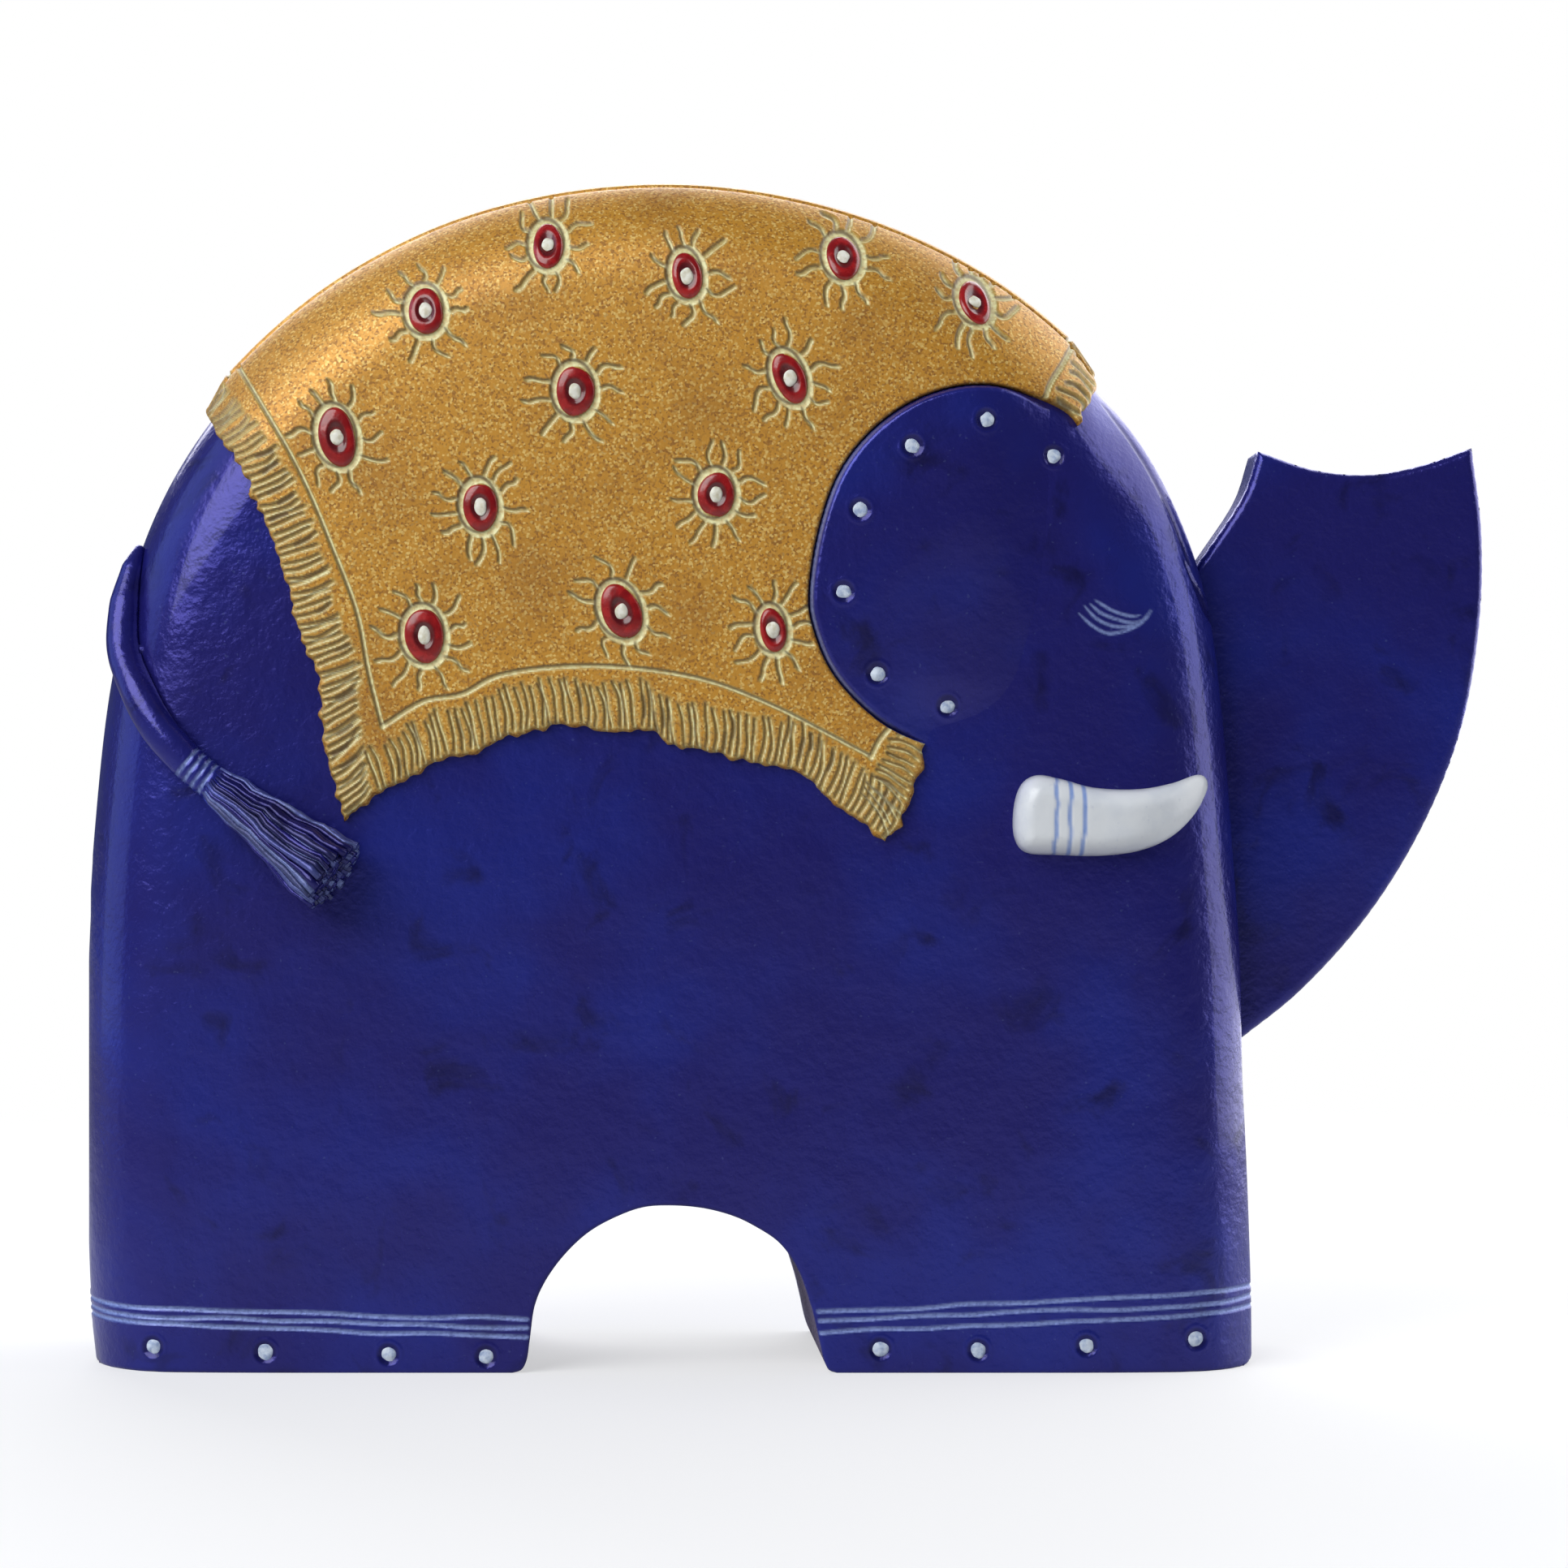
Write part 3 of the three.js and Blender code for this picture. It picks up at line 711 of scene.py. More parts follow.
enamel = red_enamel()
cream_paint = dot_paint("cream_paint", srgb(244, 243, 228), srgb(214, 208, 178))
sky_paint = dot_paint("sky_paint", srgb(214, 226, 240), srgb(150, 170, 206))
white = tusk_white()
wood = bare_wood()
finishes = (lacquer, gold, enamel, cream_paint, sky_paint, white, wood)
print("finishes:", ", ".join(m.name for m in finishes))


# %% [markdown]
# ## The outlines of the laid-on pieces
# The ear, the tusk and the blanket's hem are drawn once, and used both for the pieces
# themselves and to keep their neighbours clear of them.

# %% Ear, tusk and hem
EAR = [
    (3.3, 107.6), (3.9, 104), (6.2, 98.3), (10.2, 93.4), (15.2, 89.6), (22, 87.4), (29, 89),
    (35, 95.5), (38.8, 106), (40.4, 117), (41.6, 126.5), (40.3, 132.9), (34, 136.2),
    (26.3, 137.6), (18.8, 135.8), (12.4, 131.6), (7.6, 125.6), (4.6, 117.2),
]
HEM_REAR = [
    (-86, 142), (-82, 134.2), (-77.6, 128.6), (-74, 121.8), (-70.4, 112.8), (-67.6, 102.4),
    (-65, 97), (-64.9, 91.4), (-63.2, 83), (-61.5, 76.8),
]
HEM_LOWER = [
    (-61.5, 76.8), (-56.8, 80.8), (-52.4, 82.8), (-47.6, 85.5), (-43.4, 86.4), (-38.6, 88.5),
    (-30, 90.1), (-24.6, 89.3), (-18.5, 89.4), (-16, 87.4), (-9.5, 86.2), (-4.9, 85),
    (1.6, 83.8), (5.2, 80.6), (9.6, 77.5), (13.9, 74.1),
]
HEM_FRONT = [(13.9, 74.1), (16.6, 77.6), (18.9, 85.4), (20.6, 90), (26, 100), (34, 118)]
HEM_HEAD = [(34, 118), (40.2, 131.6), (42.4, 134.6), (43.4, 138), (45.2, 141.8), (50, 150)]

ear_outline = smooth(EAR, 0.25, closed=True)[:-1]
hem_edge = [smooth(run, 0.25) for run in (HEM_REAR, HEM_LOWER, HEM_FRONT, HEM_HEAD)]


def roughened(line, amount, seed):
    """A cut edge is never quite smooth: small seeded wanders across it."""
    rng = np.random.default_rng(seed)
    way = np.gradient(line, axis=0)
    across = np.column_stack([way[:, 1], -way[:, 0]])
    across /= np.linalg.norm(across, axis=1)[:, None]
    wander = rng.normal(0, 1, len(line))
    for width in (3, 5):
        wander = np.convolve(wander, np.ones(width) / width, "same")
    fade = np.minimum(np.arange(len(line)), np.arange(len(line))[::-1]) / 4
    return line + across * (wander * amount * np.clip(fade, 0, 1))[:, None]


hem_line = [roughened(run, 0.5, 20 + i) for i, run in enumerate(hem_edge)]
# closed well above the back
hem_loop = join(*hem_line, [(50, 190), (-86, 190)])
print("hem", len(hem_loop), "points, ear", len(ear_outline), "points")

# %% [markdown]
# ## The body board
# One board makes torso, head and legs. Each flank is a sheet over the outline, and a strip
# across the thickness joins them round the rim, through the arch and under the feet. Rings of
# points close to the rim follow the rounding, where the surface turns fastest. The three wavy
# cuts above each foot, the dots below them and the lashes of the closed eye go on a drawing
# board first.

# %% Marks on the body
ARCH = [
    (7.2, 0), (6.1, 0.4), (5.5, 1.6), (4.4, 6.3), (3.6, 9.4), (1.7, 14.6), (-0.8, 18.1),
    (-4, 20.3), (-7.1, 21.8), (-11.2, 22.9), (-15.4, 23.3), (-19.6, 23.1), (-23.2, 21.9),
    (-27.4, 19.6), (-31, 16.2), (-33.6, 12.5), (-34.9, 9.4), (-35.6, 4.7), (-36.1, 1.6),
    (-36.8, 0.4), (-38, 0),
]
FOOT_LINES = [
    ((-99, 9.3), (-36, 7.5)), ((-99, 8.1), (-36, 6.3)), ((-99, 7.1), (-36, 5.0)),
    ((4.6, 8.6), (66.8, 11.2)), ((4.8, 7.3), (66.8, 9.8)), ((5.0, 5.6), (66.8, 8.4)),
]
FOOT_DOTS = [
    (-88.3, 3.5), (-72.5, 2.9), (-55.3, 2.6), (-41.7, 2.3), (13.3, 3.4), (26.9, 3.2), (42, 3.8),
    (57.4, 4.6),
]
EAR_DOTS = [
    (27.8, 132.6), (37.5, 127.9), (17.6, 129), (10.4, 120.2), (8.1, 108.8), (12.8, 97.4), (22.6, 93),
]
LASHES = [
    [(43.2, 107.7), (45.8, 106.2), (48.4, 105.5), (49.7, 105.7)],
    [(42.5, 107.2), (43.9, 106), (46.4, 105), (48.4, 104.6), (49.7, 105)],
    [(41.7, 106.9), (43.3, 105.2), (45.4, 104.2), (47.4, 104), (49.4, 104.5), (51, 106.4)],
    [
        (40.9, 105.9), (42.6, 104.3), (44.9, 103.1), (46.8, 103.3), (48.9, 104.1), (50.5, 105.3),
        (51.3, 106.4),
    ],
]


def dot_pit(board, at):
    """The shallow pit that a paint dot sits in, darkened with painted shade."""
    board.dab(at, 1.55, 0.4, layer="painted_shade", strength=0.8, lip=0.08, lip_width=0.3)


def body_board(seed):
    rng = random.Random(seed)
    board = Board((-102, -2), (69, 168), 0.08, layers=("pale", "painted_shade"))
    for (x0, z0), (x1, z1) in FOOT_LINES:
        steps = 9
        line = [(x0 + (x1 - x0) * k / steps, z0 + (z1 - z0) * k / steps) for k in range(steps + 1)]
        inner = [(x, z + rng.uniform(-0.22, 0.22)) for x, z in line[1:-1]]
        wavy = smooth([line[0], *inner, line[-1]], 0.3)
        board.stroke(wavy, 0.3, 0.2, ends=(1, 1), layer="pale", strength=0.85, lip=0.04)
    # the foremost ear dot sits where the ear has faired into the head
    for at in [*FOOT_DOTS, EAR_DOTS[1]]:
        dot_pit(board, at)
    # six small wrinkles beside the trunk's joint, darkened with painted shade
    for k in range(6):
        x, z = 56.3 + 0.42 * k, 113.6 - 1.0 * k
        wrinkle = smooth([(x, z), (x + 0.9, z - 2.2), (x + 2.3 + rng.uniform(-0.3, 0.4), z - 4.4)], 0.2)
        board.stroke(wrinkle, 0.26, 0.2, lip=0.1, layer="painted_shade", strength=0.9)
    # a shallow crease just inside the head's front edge, darkened with painted shade
    head_rim = back_line[(back_line[:, 1] > 113) & (back_line[:, 1] < 137) & (back_line[:, 0] > 40)]
    crease = head_rim - from_edge(head_rim)[1] * 1.25
    board.stroke(crease, 0.35, 0.16, ends=(0.6, 0.6), layer="painted_shade", strength=0.9)
    for lash in LASHES:
        board.stroke(smooth(lash, 0.2), 0.22, 0.13, ends=(0.4, 0.2), layer="pale", strength=0.8, lip=0.03)
    for line in (arch_line, [(-99, 0), (-38, 0)], [(7, 0), (67, 0)]):
        board.mark_busy(line, 0.9)
    return board.finish()


arch_line = smooth(ARCH, 0.4)
arch_tree = tree_of(arch_line)
body_boards = {"right": body_board(3), "left": body_board(4)}
print("body boards", body_boards["right"].shape)

# %% The body mesh
FOOT_CORNER = 1.9
FOOT_ENDS = (-98.9, 67.1)
EDGE_RADIUS = 0.6
# the front leg's taper: how much, from which x and over what length, below which height
LEG_TAPER, LEG_FROM, LEG_OVER, LEG_BELOW, LEG_FADE = 0.9, 59.5, 7, 62, 25
# the arch's far mouth: how much further back, how much more at its rear, and how soon it fades
ARCH_BACK, ARCH_BACK_MORE, ARCH_FADE = 2.5, 0.4, 5


def eased_edge(points, distance, radius):
    """Rounds a sharp edge over, where distance says how far each point is from it."""
    near = np.clip(radius - distance, 0, radius)
    points[:, 1] += radius - np.sqrt(radius**2 - near**2)
    return points


def body_sheet(board):
    """One flank with its marks: drawn points, points in space and triangles."""
    foot = np.concatenate([np.arange(0, 14, 0.25), np.arange(14, 40, 1.0)])
    run = run_along(back_line)
    total = run[-1]
    stops = np.concatenate([foot, np.arange(40, total - 40, 1.0), (total - foot)[::-1]])
    rim = np.column_stack([np.interp(stops, run, back_line[:, k]) for k in (0, 1)])
    turns = np.arange(1, 17) / 16 * math.pi / 2
    insets = np.concatenate([ROUND_REACH * (1 - np.cos(turns)), [14.4, 16.2]])
    _, out = from_edge(rim)
    rings = [rim - out * inset for inset in insets]
    rings = [ring[ring[:, 1] > 0.2] for ring in rings]
    rear_floor = [(x, 0) for x in np.r_[REAR_FOOT_X + insets, np.arange(-81, -38, 0.8)]]
    front_floor = [(x, 0) for x in np.r_[np.arange(7.8, 49.5, 0.8), FRONT_FOOT_X - insets[::-1]]]
    outline = join(rim[::-1], rear_floor, arch_line[::-1], front_floor)
    rings = [ring[distance_to(tree_of(outline), ring) > 0.01] for ring in rings]
    floor_lines = np.vstack([rear_floor, arch_line[::-1], front_floor])

    def keep(points):
        return inside(outline, points)

    xz, triangles = triangulate([outline], keep, rings, board, 1.7, 3)
    points = off_flank(xz, board.read(board.height, xz))
    edge = tree_of(spaced(floor_lines, 0.1))
    away = distance_to(edge, xz)
    inset, _ = from_edge(xz)
    points = eased_edge(points, np.where(inset > 1.5, away, 9), EDGE_RADIUS)
    return xz, points, triangles


def rounded_feet(points):
    """Pulls the two lower corners in to a small radius."""
    z = np.clip(points[:, 2], 0, FOOT_CORNER)
    pull = FOOT_CORNER - np.sqrt(FOOT_CORNER**2 - (FOOT_CORNER - z) ** 2)
    points[:, 0] = np.clip(points[:, 0], FOOT_ENDS[0] + pull, FOOT_ENDS[1] - pull)
    return points


def narrowed_leg(points):
    """The front leg tapers in a little below the trunk."""
    x, z = points[:, 0], points[:, 2]
    points[:, 0] -= LEG_TAPER * ease((x - LEG_FROM) / LEG_OVER) * ease((LEG_BELOW - z) / LEG_FADE)
    return points


def askew_arch(points):
    """The saw ran a little off square, so the far mouth of the arch sits further back."""
    through = np.clip((points[:, 1] + BODY_HALF) / (2 * BODY_HALF), 0, 1)
    near_arch = np.exp(-distance_to(arch_tree, points[:, [0, 2]]) / ARCH_FADE)
    back = ARCH_BACK + ARCH_BACK_MORE * ease((-12 - points[:, 0]) / 20)
    points[:, 0] -= through * near_arch * back
    return points


def two_sided(near, far, triangles, rows):
    """Joins a near sheet and its far copy, whose points match, across the board's thickness."""
    n = len(near)
    border = border_of(triangles)
    ring = np.unique(border)
    slot = {v: i for i, v in enumerate(ring)}
    steps = np.arange(1, rows)[:, None, None] / rows
    strip = (near[ring] * (1 - steps) + far[ring] * steps).reshape(-1, 3)
    faces = [triangles, triangles[:, ::-1] + n]
    quads = []
    level = [lambda v: v] + [lambda v, k=k: 2 * n + k * len(ring) + slot[v] for k in range(rows - 1)]
    level.append(lambda v: v + n)
    for a, b in border.tolist():
        for lower, upper in zip(level, level[1:]):
            quads.append((lower(b), lower(a), upper(a), upper(b)))
    points = np.vstack([near, far, strip])
    return points, [*faces[0].tolist(), *faces[1].tolist(), *quads], ring


def body_piece():
    board, other = body_boards["right"], body_boards["left"]
    xz, near, triangles = body_sheet(board)
    lift = other.read(other.height, xz) - board.read(board.height, xz)
    far = near + (off_flank(xz, lift) - off_flank(xz, 0 * lift))
    far[:, 1] *= -1
    rows = 12
    points, faces, ring = two_sided(near, far, triangles, rows)
    points = askew_arch(narrowed_leg(rounded_feet(points)))
    values = {}
    for layer in ("pale", "painted_shade"):
        sides = [b.read(b.paint[layer], xz) for b in (board, other)]
        steps = np.arange(1, rows)[:, None] / rows
        strip = sides[0][ring] * (1 - steps) + sides[1][ring] * steps
        values[layer] = np.concatenate([*sides, strip.ravel()])
    return make_piece("carved_body", points, faces, lacquer, values)


body = body_piece()
stands_for(body, "blue_lacquer", "body_block")

# %% [markdown]
# ## The trunk board
# A thinner board stands in a housing in the front of the head. Its faces are nearly flat and
# its edges only eased, so the highlight runs along them as a thin line.

# %% The trunk
TRUNK_REAR = [(57.6, 111.6), (61.2, 116.6), (65.7, 123.6), (67.7, 129.7)]
TRUNK_TIP = [(67.7, 129.7), (76, 127), (84, 126.4), (91.4, 127.8), (98.3, 130.2)]
TRUNK_FRONT = [
    (98.3, 130.2), (99.7, 118), (99.4, 105), (96.9, 90.5), (91.7, 77), (83.6, 63.6), (73.6, 52.4),
    (64.9, 45.4),
]
TRUNK_ROOT = [(64.9, 45.4), (56.6, 46.6), (51.4, 104.6), (57.6, 111.6)]
trunk_low, trunk_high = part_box("trunk")
TRUNK_HALF = (trunk_high.y - trunk_low.y) / 2 / MM
TRUNK_ROUND = 1.15


def trunk_piece():
    stretches = [smooth(run, 0.5) for run in (TRUNK_REAR, TRUNK_TIP, TRUNK_FRONT)]
    outline = join(*stretches, spaced(TRUNK_ROOT, 2.0))
    board = Board((50, 44), (101, 132), 0.1)
    board.mark_busy(np.vstack(stretches), 1.5)
    board.finish()
    xz, triangles = triangulate([outline], lambda p: inside(outline, p), [], board, 1.8, 3)
    away = distance_to(tree_of(spaced(np.vstack([outline, outline[:1]]), 0.08)), xz)
    half = TRUNK_HALF - TRUNK_ROUND * (1 - quarter(away / TRUNK_ROUND)) - 0.25 * (1 - quarter(away / 14))
    near = np.column_stack([xz[:, 0], -half, xz[:, 1]])
    far = np.column_stack([xz[:, 0], half, xz[:, 1]])
    points, faces, _ = two_sided(near, far, triangles, 6)
    zero = np.zeros(len(points))
    return make_piece("carved_trunk", points, faces, lacquer, {"pale": zero, "painted_shade": zero})


trunk = trunk_piece()
stands_for(trunk, "blue_lacquer", "trunk")

# %% [markdown]
# ## Plates laid on the flank
# The blanket, the ears and the tusks are all plates: a top sheet whose lift off the flank is
# a formula of the distance to its edges, a flat underside sunk a little into the board, and a
# wall between them. So one function makes them all.

# %% Plates
UNDER = -0.25
nothing = Board((0, 0), (1, 1), 1.0).finish()


def plate(
    name, loops, keep, board, lift_of, material,
    place=off_flank, mirror=False, extra=None, detail=(1.6, 3),
):
    """lift_of gives the height off the flank at each drawn point, before the tool marks."""
    xz, triangles = triangulate(loops, keep, [], board, *detail)
    relief = board.read(board.height, xz)
    base, mark_share = lift_of(xz)
    top = place(xz, base + relief * mark_share)
    border = border_of(triangles)
    ring = np.unique(border)
    low = place(xz[ring], np.full(len(ring), UNDER))
    slot = {v: len(top) + i for i, v in enumerate(ring)}
    walls = [(b, a, slot[a], slot[b]) for a, b in border.tolist()]
    rim = [xz[chain] for chain in chains(border)]
    under_xz, under_triangles = triangulate(rim, keep, [], nothing, 4.0, 0)
    order = {tuple(np.round(p, 5)): slot[v] for v, p in zip(ring, xz[ring])}
    points, index = [top, low], []
    start = len(top) + len(low)
    new = []
    for p in under_xz:
        key = tuple(np.round(p, 5))
        if key in order:
            index.append(order[key])
        else:
            index.append(start + len(new))
            new.append(p)
    if new:
        points.append(place(np.array(new), np.full(len(new), UNDER)))
    under = np.array(index)[under_triangles][:, ::-1]
    points = np.vstack(points)
    faces = [*triangles.tolist(), *walls, *under.tolist()]
    if mirror:
        points[:, 1] *= -1
        faces = [f[::-1] for f in faces]
    values = {}
    for layer, drawn in board.paint.items():
        values[layer] = np.zeros(len(points))
        values[layer][: len(top)] = board.read(drawn, xz)
    for layer, formula in (extra or {}).items():
        values[layer][: len(top)] = np.maximum(values[layer][: len(top)], formula(xz))
    return make_piece(name, points, faces, material, values)


def chains(border):
    """Border edges as closed loops of vertex numbers."""
    after = dict(border.tolist())
    loops = []
    while after:
        start = next(iter(after))
        loop = [start]
        while after.get(loop[-1], start) != start:
            loop.append(after.pop(loop[-1]))
        after.pop(loop[-1], None)
        loops.append(loop)
    return loops

# %% [markdown]
# ## The saddle blanket
# The blanket is a thin layer laid over the back in three pieces: a panel on each flank and a
# crest strip over the rim, with a fine seam where they meet. Its decoration is all tool work:
# thirteen eyes, each a ring with wandering rays, a border line, and a fringe of short grooves
# along the hem. Each panel gets its own board, so the two flanks differ as handwork does.

# %% Drawing the blanket
BLANKET_LIFT = 1.5
SEAM_INSET = 0.85
# how much thicker it is at the crest, from how far down, and how much of that is left at the seam
CREST_SWELL, SWELL_REACH, SEAM_SHARE = 1.3, 7, 0.77
HEM_FADE = 7
# centre, half width, half height and lean of each eye
EYES = [
    ((-33, 156.5), 2.15, 2.95, 0), ((-49.9, 147.6), 2.35, 3.05, -5), ((-13.7, 152.6), 2.05, 3.1, 8),
    ((7.8, 154.8), 2.25, 2.95, 20), ((25.9, 148.6), 1.85, 3.05, 25), ((-29.2, 136.7), 2.6, 3.55, 0),
    ((0.6, 138.5), 2.15, 3.65, 20), ((-62.3, 130.3), 2.6, 4.1, 12), ((-42.4, 120.6), 2.35, 3.45, 4),
    ((-9.6, 122.3), 2.5, 3.2, -4), ((-22.8, 106.1), 2.7, 3.9, 20), ((-1.7, 103.5), 1.85, 3.05, 6),
    ((-50.2, 102.7), 2.7, 3.8, 3),
]
BORDER_REAR = [
    (-76.4, 140.6), (-71, 131.9), (-66.6, 123.5), (-63.2, 115.8), (-59.5, 105.9), (-57.8, 97.5),
    (-55.9, 90.1),
]
BORDER_LOWER = [
    (-55.9, 90.1), (-50.2, 93.5), (-45, 94.7), (-40.3, 97), (-30, 98.6), (-19.2, 98.1), (-10.3, 96.2),
    (-1.2, 92.9), (5, 89.6), (11.9, 85.7),
]
BORDER_FRONT = [(11.9, 85.7), (13.2, 88.2), (16, 91.6)]
BORDER_HEAD = [(35.8, 134.6), (36.2, 137), (38, 140.2), (40.4, 145)]
# each run of fringe: its line, how many grooves, and their angles and lengths along it
FRINGES = [
    (HEM_REAR[1:], 58, (44, 30, 24, 20, 20, 24, 38, 42), (4.6, 5.2, 5.6, 5.6, 5.4, 5.2)),
    (HEM_LOWER[1:], 72, (108, 103, 101, 98, 95, 88, 74, 62), (5.4, 6, 6.2, 6, 5.6)),
    ([(13.9, 74.8), (16.4, 78.4), (18.9, 85.2), (20, 88)], 13, (120, 138, 152, 166), (6, 5, 4)),
    ([(40.9, 132.6), (42.6, 135.6), (43.4, 138), (45.6, 142)], 9, (150, 144, 140, 138), (4.2, 4.6)),
]
RING = 0.62


def draw_eye(board, rng, eye):
    """A ring with rays that wander out from it."""
    (x, z), wide, tall, lean = eye
    lean = math.radians(lean)

    def on(angle, grow):
        u, v = (wide + grow) * math.cos(angle), (tall + grow) * math.sin(angle)
        return x + u * math.cos(lean) - v * math.sin(lean), z + v * math.cos(lean) + u * math.sin(lean)

    turn = [on(a, RING / 2 + 0.1) for a in np.linspace(0, 2 * math.pi, 40)]
    board.groove(turn, RING, 0.3, ends=(1, 1), paint=0.9)
    count = rng.randint(11, 13)
    start = rng.uniform(0, 1)
    for k in range(count):
        angle = (k + start + rng.uniform(-0.15, 0.15)) / count * 2 * math.pi
        reach = rng.uniform(2.0, 3.9)
        bend, sway = rng.uniform(-0.2, 0.2), rng.uniform(-0.1, 0.1)
        ray = [
            on(angle + bend * t * t + sway * math.sin(5 * t), RING + 0.45 + reach * t)
            for t in (0, 0.25, 0.5, 0.75, 1)
        ]
        thick = rng.uniform(0.32, 0.42)
        board.groove(smooth(ray, 0.2), thick, 0.28, ends=(0.9, 0.75), paint=0.8)


def draw_fringe(board, rng, hem, count, angles, reaches):
    """Grooves running in from the hem; angle and reach change along it."""
    hem = smooth(hem, 0.2)
    stops = np.linspace(0, 1, len(angles))
    for k in range(count):
        share = min(max((k + 0.5 + rng.uniform(-0.16, 0.16)) / count, 0), 1)
        angle = math.radians(np.interp(share, stops, angles) + rng.uniform(-4, 4))
        reach = np.interp(share, np.linspace(0, 1, len(reaches)), reaches) + rng.uniform(-0.5, 0.4)
        way = np.array([math.cos(angle), math.sin(angle)])
        side = np.array([-way[1], way[0]])
        a = hem[int(share * (len(hem) - 1))] + way * rng.uniform(0.35, 0.8)
        bow, wave = rng.uniform(-0.45, 0.05), rng.uniform(-0.12, 0.12)
        line = smooth([
            a, a + way * reach * 0.35 + side * (bow + wave), a + way * reach * 0.7 + side * (bow - wave),
            a + way * reach,
        ], 0.2)
        board.stroke(line, 0.6, 0.0, ends=(1, 1), layer="pale", strength=0.34)
        board.groove(line, rng.uniform(0.3, 0.38), 0.34, ends=(0.9, 0.9), paint=0.74)
        if rng.random() < 0.22:
            part = rng.uniform(0, 0.6)
            dark = line[int(part * len(line)) : int((part + 0.4) * len(line)) + 2]
            board.stroke(dark, 0.3, 0.42, layer="brown_and_shade", strength=rng.uniform(0.5, 0.9))


def blanket_board(seed):
    rng = random.Random(seed)
    board = Board((-88, 72), (48, 168), 0.06, layers=("pale", "brown_and_shade"))
    for eye in EYES:
        draw_eye(board, rng, eye)
    for line in (BORDER_REAR, BORDER_LOWER, BORDER_FRONT, BORDER_HEAD):
        rough = [(x + rng.uniform(-0.15, 0.15), z + rng.uniform(-0.15, 0.15)) for x, z in line]
        board.groove(smooth(rough, 0.2), 0.4, 0.32, ends=(1, 1), paint=0.85)
    for fringe in FRINGES:
        draw_fringe(board, rng, *fringe)
    for line in hem_line:
        board.mark_busy(line, 1.2)
    board.mark_busy(ear_outline, 0.7)
    inner_line = back_line - from_edge(back_line)[1] * (SEAM_INSET + 0.3)
    board.mark_busy(inner_line[(inner_line[:, 1] > 120) & (inner_line[:, 0] < 52)], 0.7)
    return board.finish()


# %% Blanket panels
seam_line = back_line - from_edge(back_line)[1] * SEAM_INSET
# the panel stops a hair outside the ear
ear_gap = ear_outline + 0.12 * ((ear_outline - ear_outline.mean(0)) / 20)
hem_tree = tree_of(np.vstack(hem_line))
ear_tree = tree_of(ear_outline)


def on_blanket(points):
    inset, _ = from_edge(points)
    return inside(hem_loop, points) & ~inside(ear_gap, points) & (inset > SEAM_INSET - 1e-3)


def crest_swell(inset):
    """The blanket thickens towards the crest."""
    return CREST_SWELL * np.clip(1 - inset / SWELL_REACH, 0, 1) ** 2


def blanket_lift(xz):
    inset, _ = from_edge(xz)
    hem = distance_to(hem_tree, xz)
    ear = distance_to(ear_tree, xz)
    thick = BLANKET_LIFT + crest_swell(inset) * ease(hem / HEM_FADE)
    lift = thick * quarter(hem / 0.9) * (0.35 + 0.65 * quarter(ear / 0.5))
    seam = 1 - quarter((inset - SEAM_INSET) / 0.5)
    return lift - 0.5 * seam * (hem > 0.5), np.clip(hem / 0.7, 0.15, 1)


for side, seed in (("right", 11), ("left", 12)):
    panel = plate(
        f"blanket_panel_{side}", [hem_loop, seam_line, ear_gap], on_blanket,
        blanket_board(seed), blanket_lift, gold, mirror=side == "left",
    )
    stands_for(panel, "gold_paint", f"blanket_{side}")

# %% The crest strip
CREST_HALF = 11.35
back_run = run_along(back_line)
_, back_out = from_edge(back_line)
rear_hit = hem_line[0][np.argmax(from_edge(hem_line[0])[0] > 0.5)]
head_hit = hem_line[3][np.argmax(from_edge(hem_line[3])[0] < 0.5)]
crest_from, crest_to = (
    back_run[np.argmin(np.linalg.norm(back_line - hit, axis=1))] for hit in (rear_hit, head_hit)
)
inset_steps = np.linspace(0, 3, 400)
half_steps = flank_half(inset_steps)


def on_crest(sy, lift):
    """Points over the rim: s along the back, y across it."""
    s, y = np.asarray(sy, float).T
    base, out = (
        np.column_stack([np.interp(s, back_run, v[:, k]) for k in (0, 1)])
        for v in (back_line, back_out)
    )
    inset = np.interp(np.abs(y), half_steps, inset_steps)
    slope = np.where(np.abs(y) > RIM_HALF, flank_slope(np.maximum(inset, 0.02)), 40)
    turn = ease((np.abs(y) - RIM_HALF + 1.2) / 2.4)
    across = np.sign(y) * turn / np.hypot(1, slope)
    up = np.sqrt(1 - across**2)
    flat = base - out * inset[:, None] + out * (lift * up)[:, None]
    return np.column_stack([flat[:, 0], y + lift * across, flat[:, 1]])


def crest_board():
    rng = random.Random(13)
    board = Board((crest_from - 2, -13), (crest_to + 2, 13), 0.08, layers=("pale", "brown_and_shade"))
    for end, way, depth in ((crest_from, 1, 6.6), (crest_to, -1, 6.4)):
        across = [(end + way * (depth + rng.uniform(-0.2, 0.2)), y) for y in np.linspace(-12, 12, 9)]
        board.groove(smooth(across, 0.2), 0.4, 0.32, ends=(1, 1), paint=0.85)
        outer = [(end, y) for y in (-11.4, 0, 11.4)]
        angle = 0 if way > 0 else 180
        draw_fringe(board, rng, outer, 20, (angle, angle), (4.8, 4.8))
        board.mark_busy(outer, 1.2)
    for y in (-CREST_HALF, CREST_HALF):
        board.mark_busy([(crest_from, y), (crest_to, y)], 0.7)
    return board.finish()


crest_corners = [
    (crest_from, -CREST_HALF), (crest_to, -CREST_HALF), (crest_to, CREST_HALF),
    (crest_from, CREST_HALF), (crest_from, -CREST_HALF),
]
crest_outline = join(*(spaced(pair, 0.3) for pair in zip(crest_corners, crest_corners[1:])))


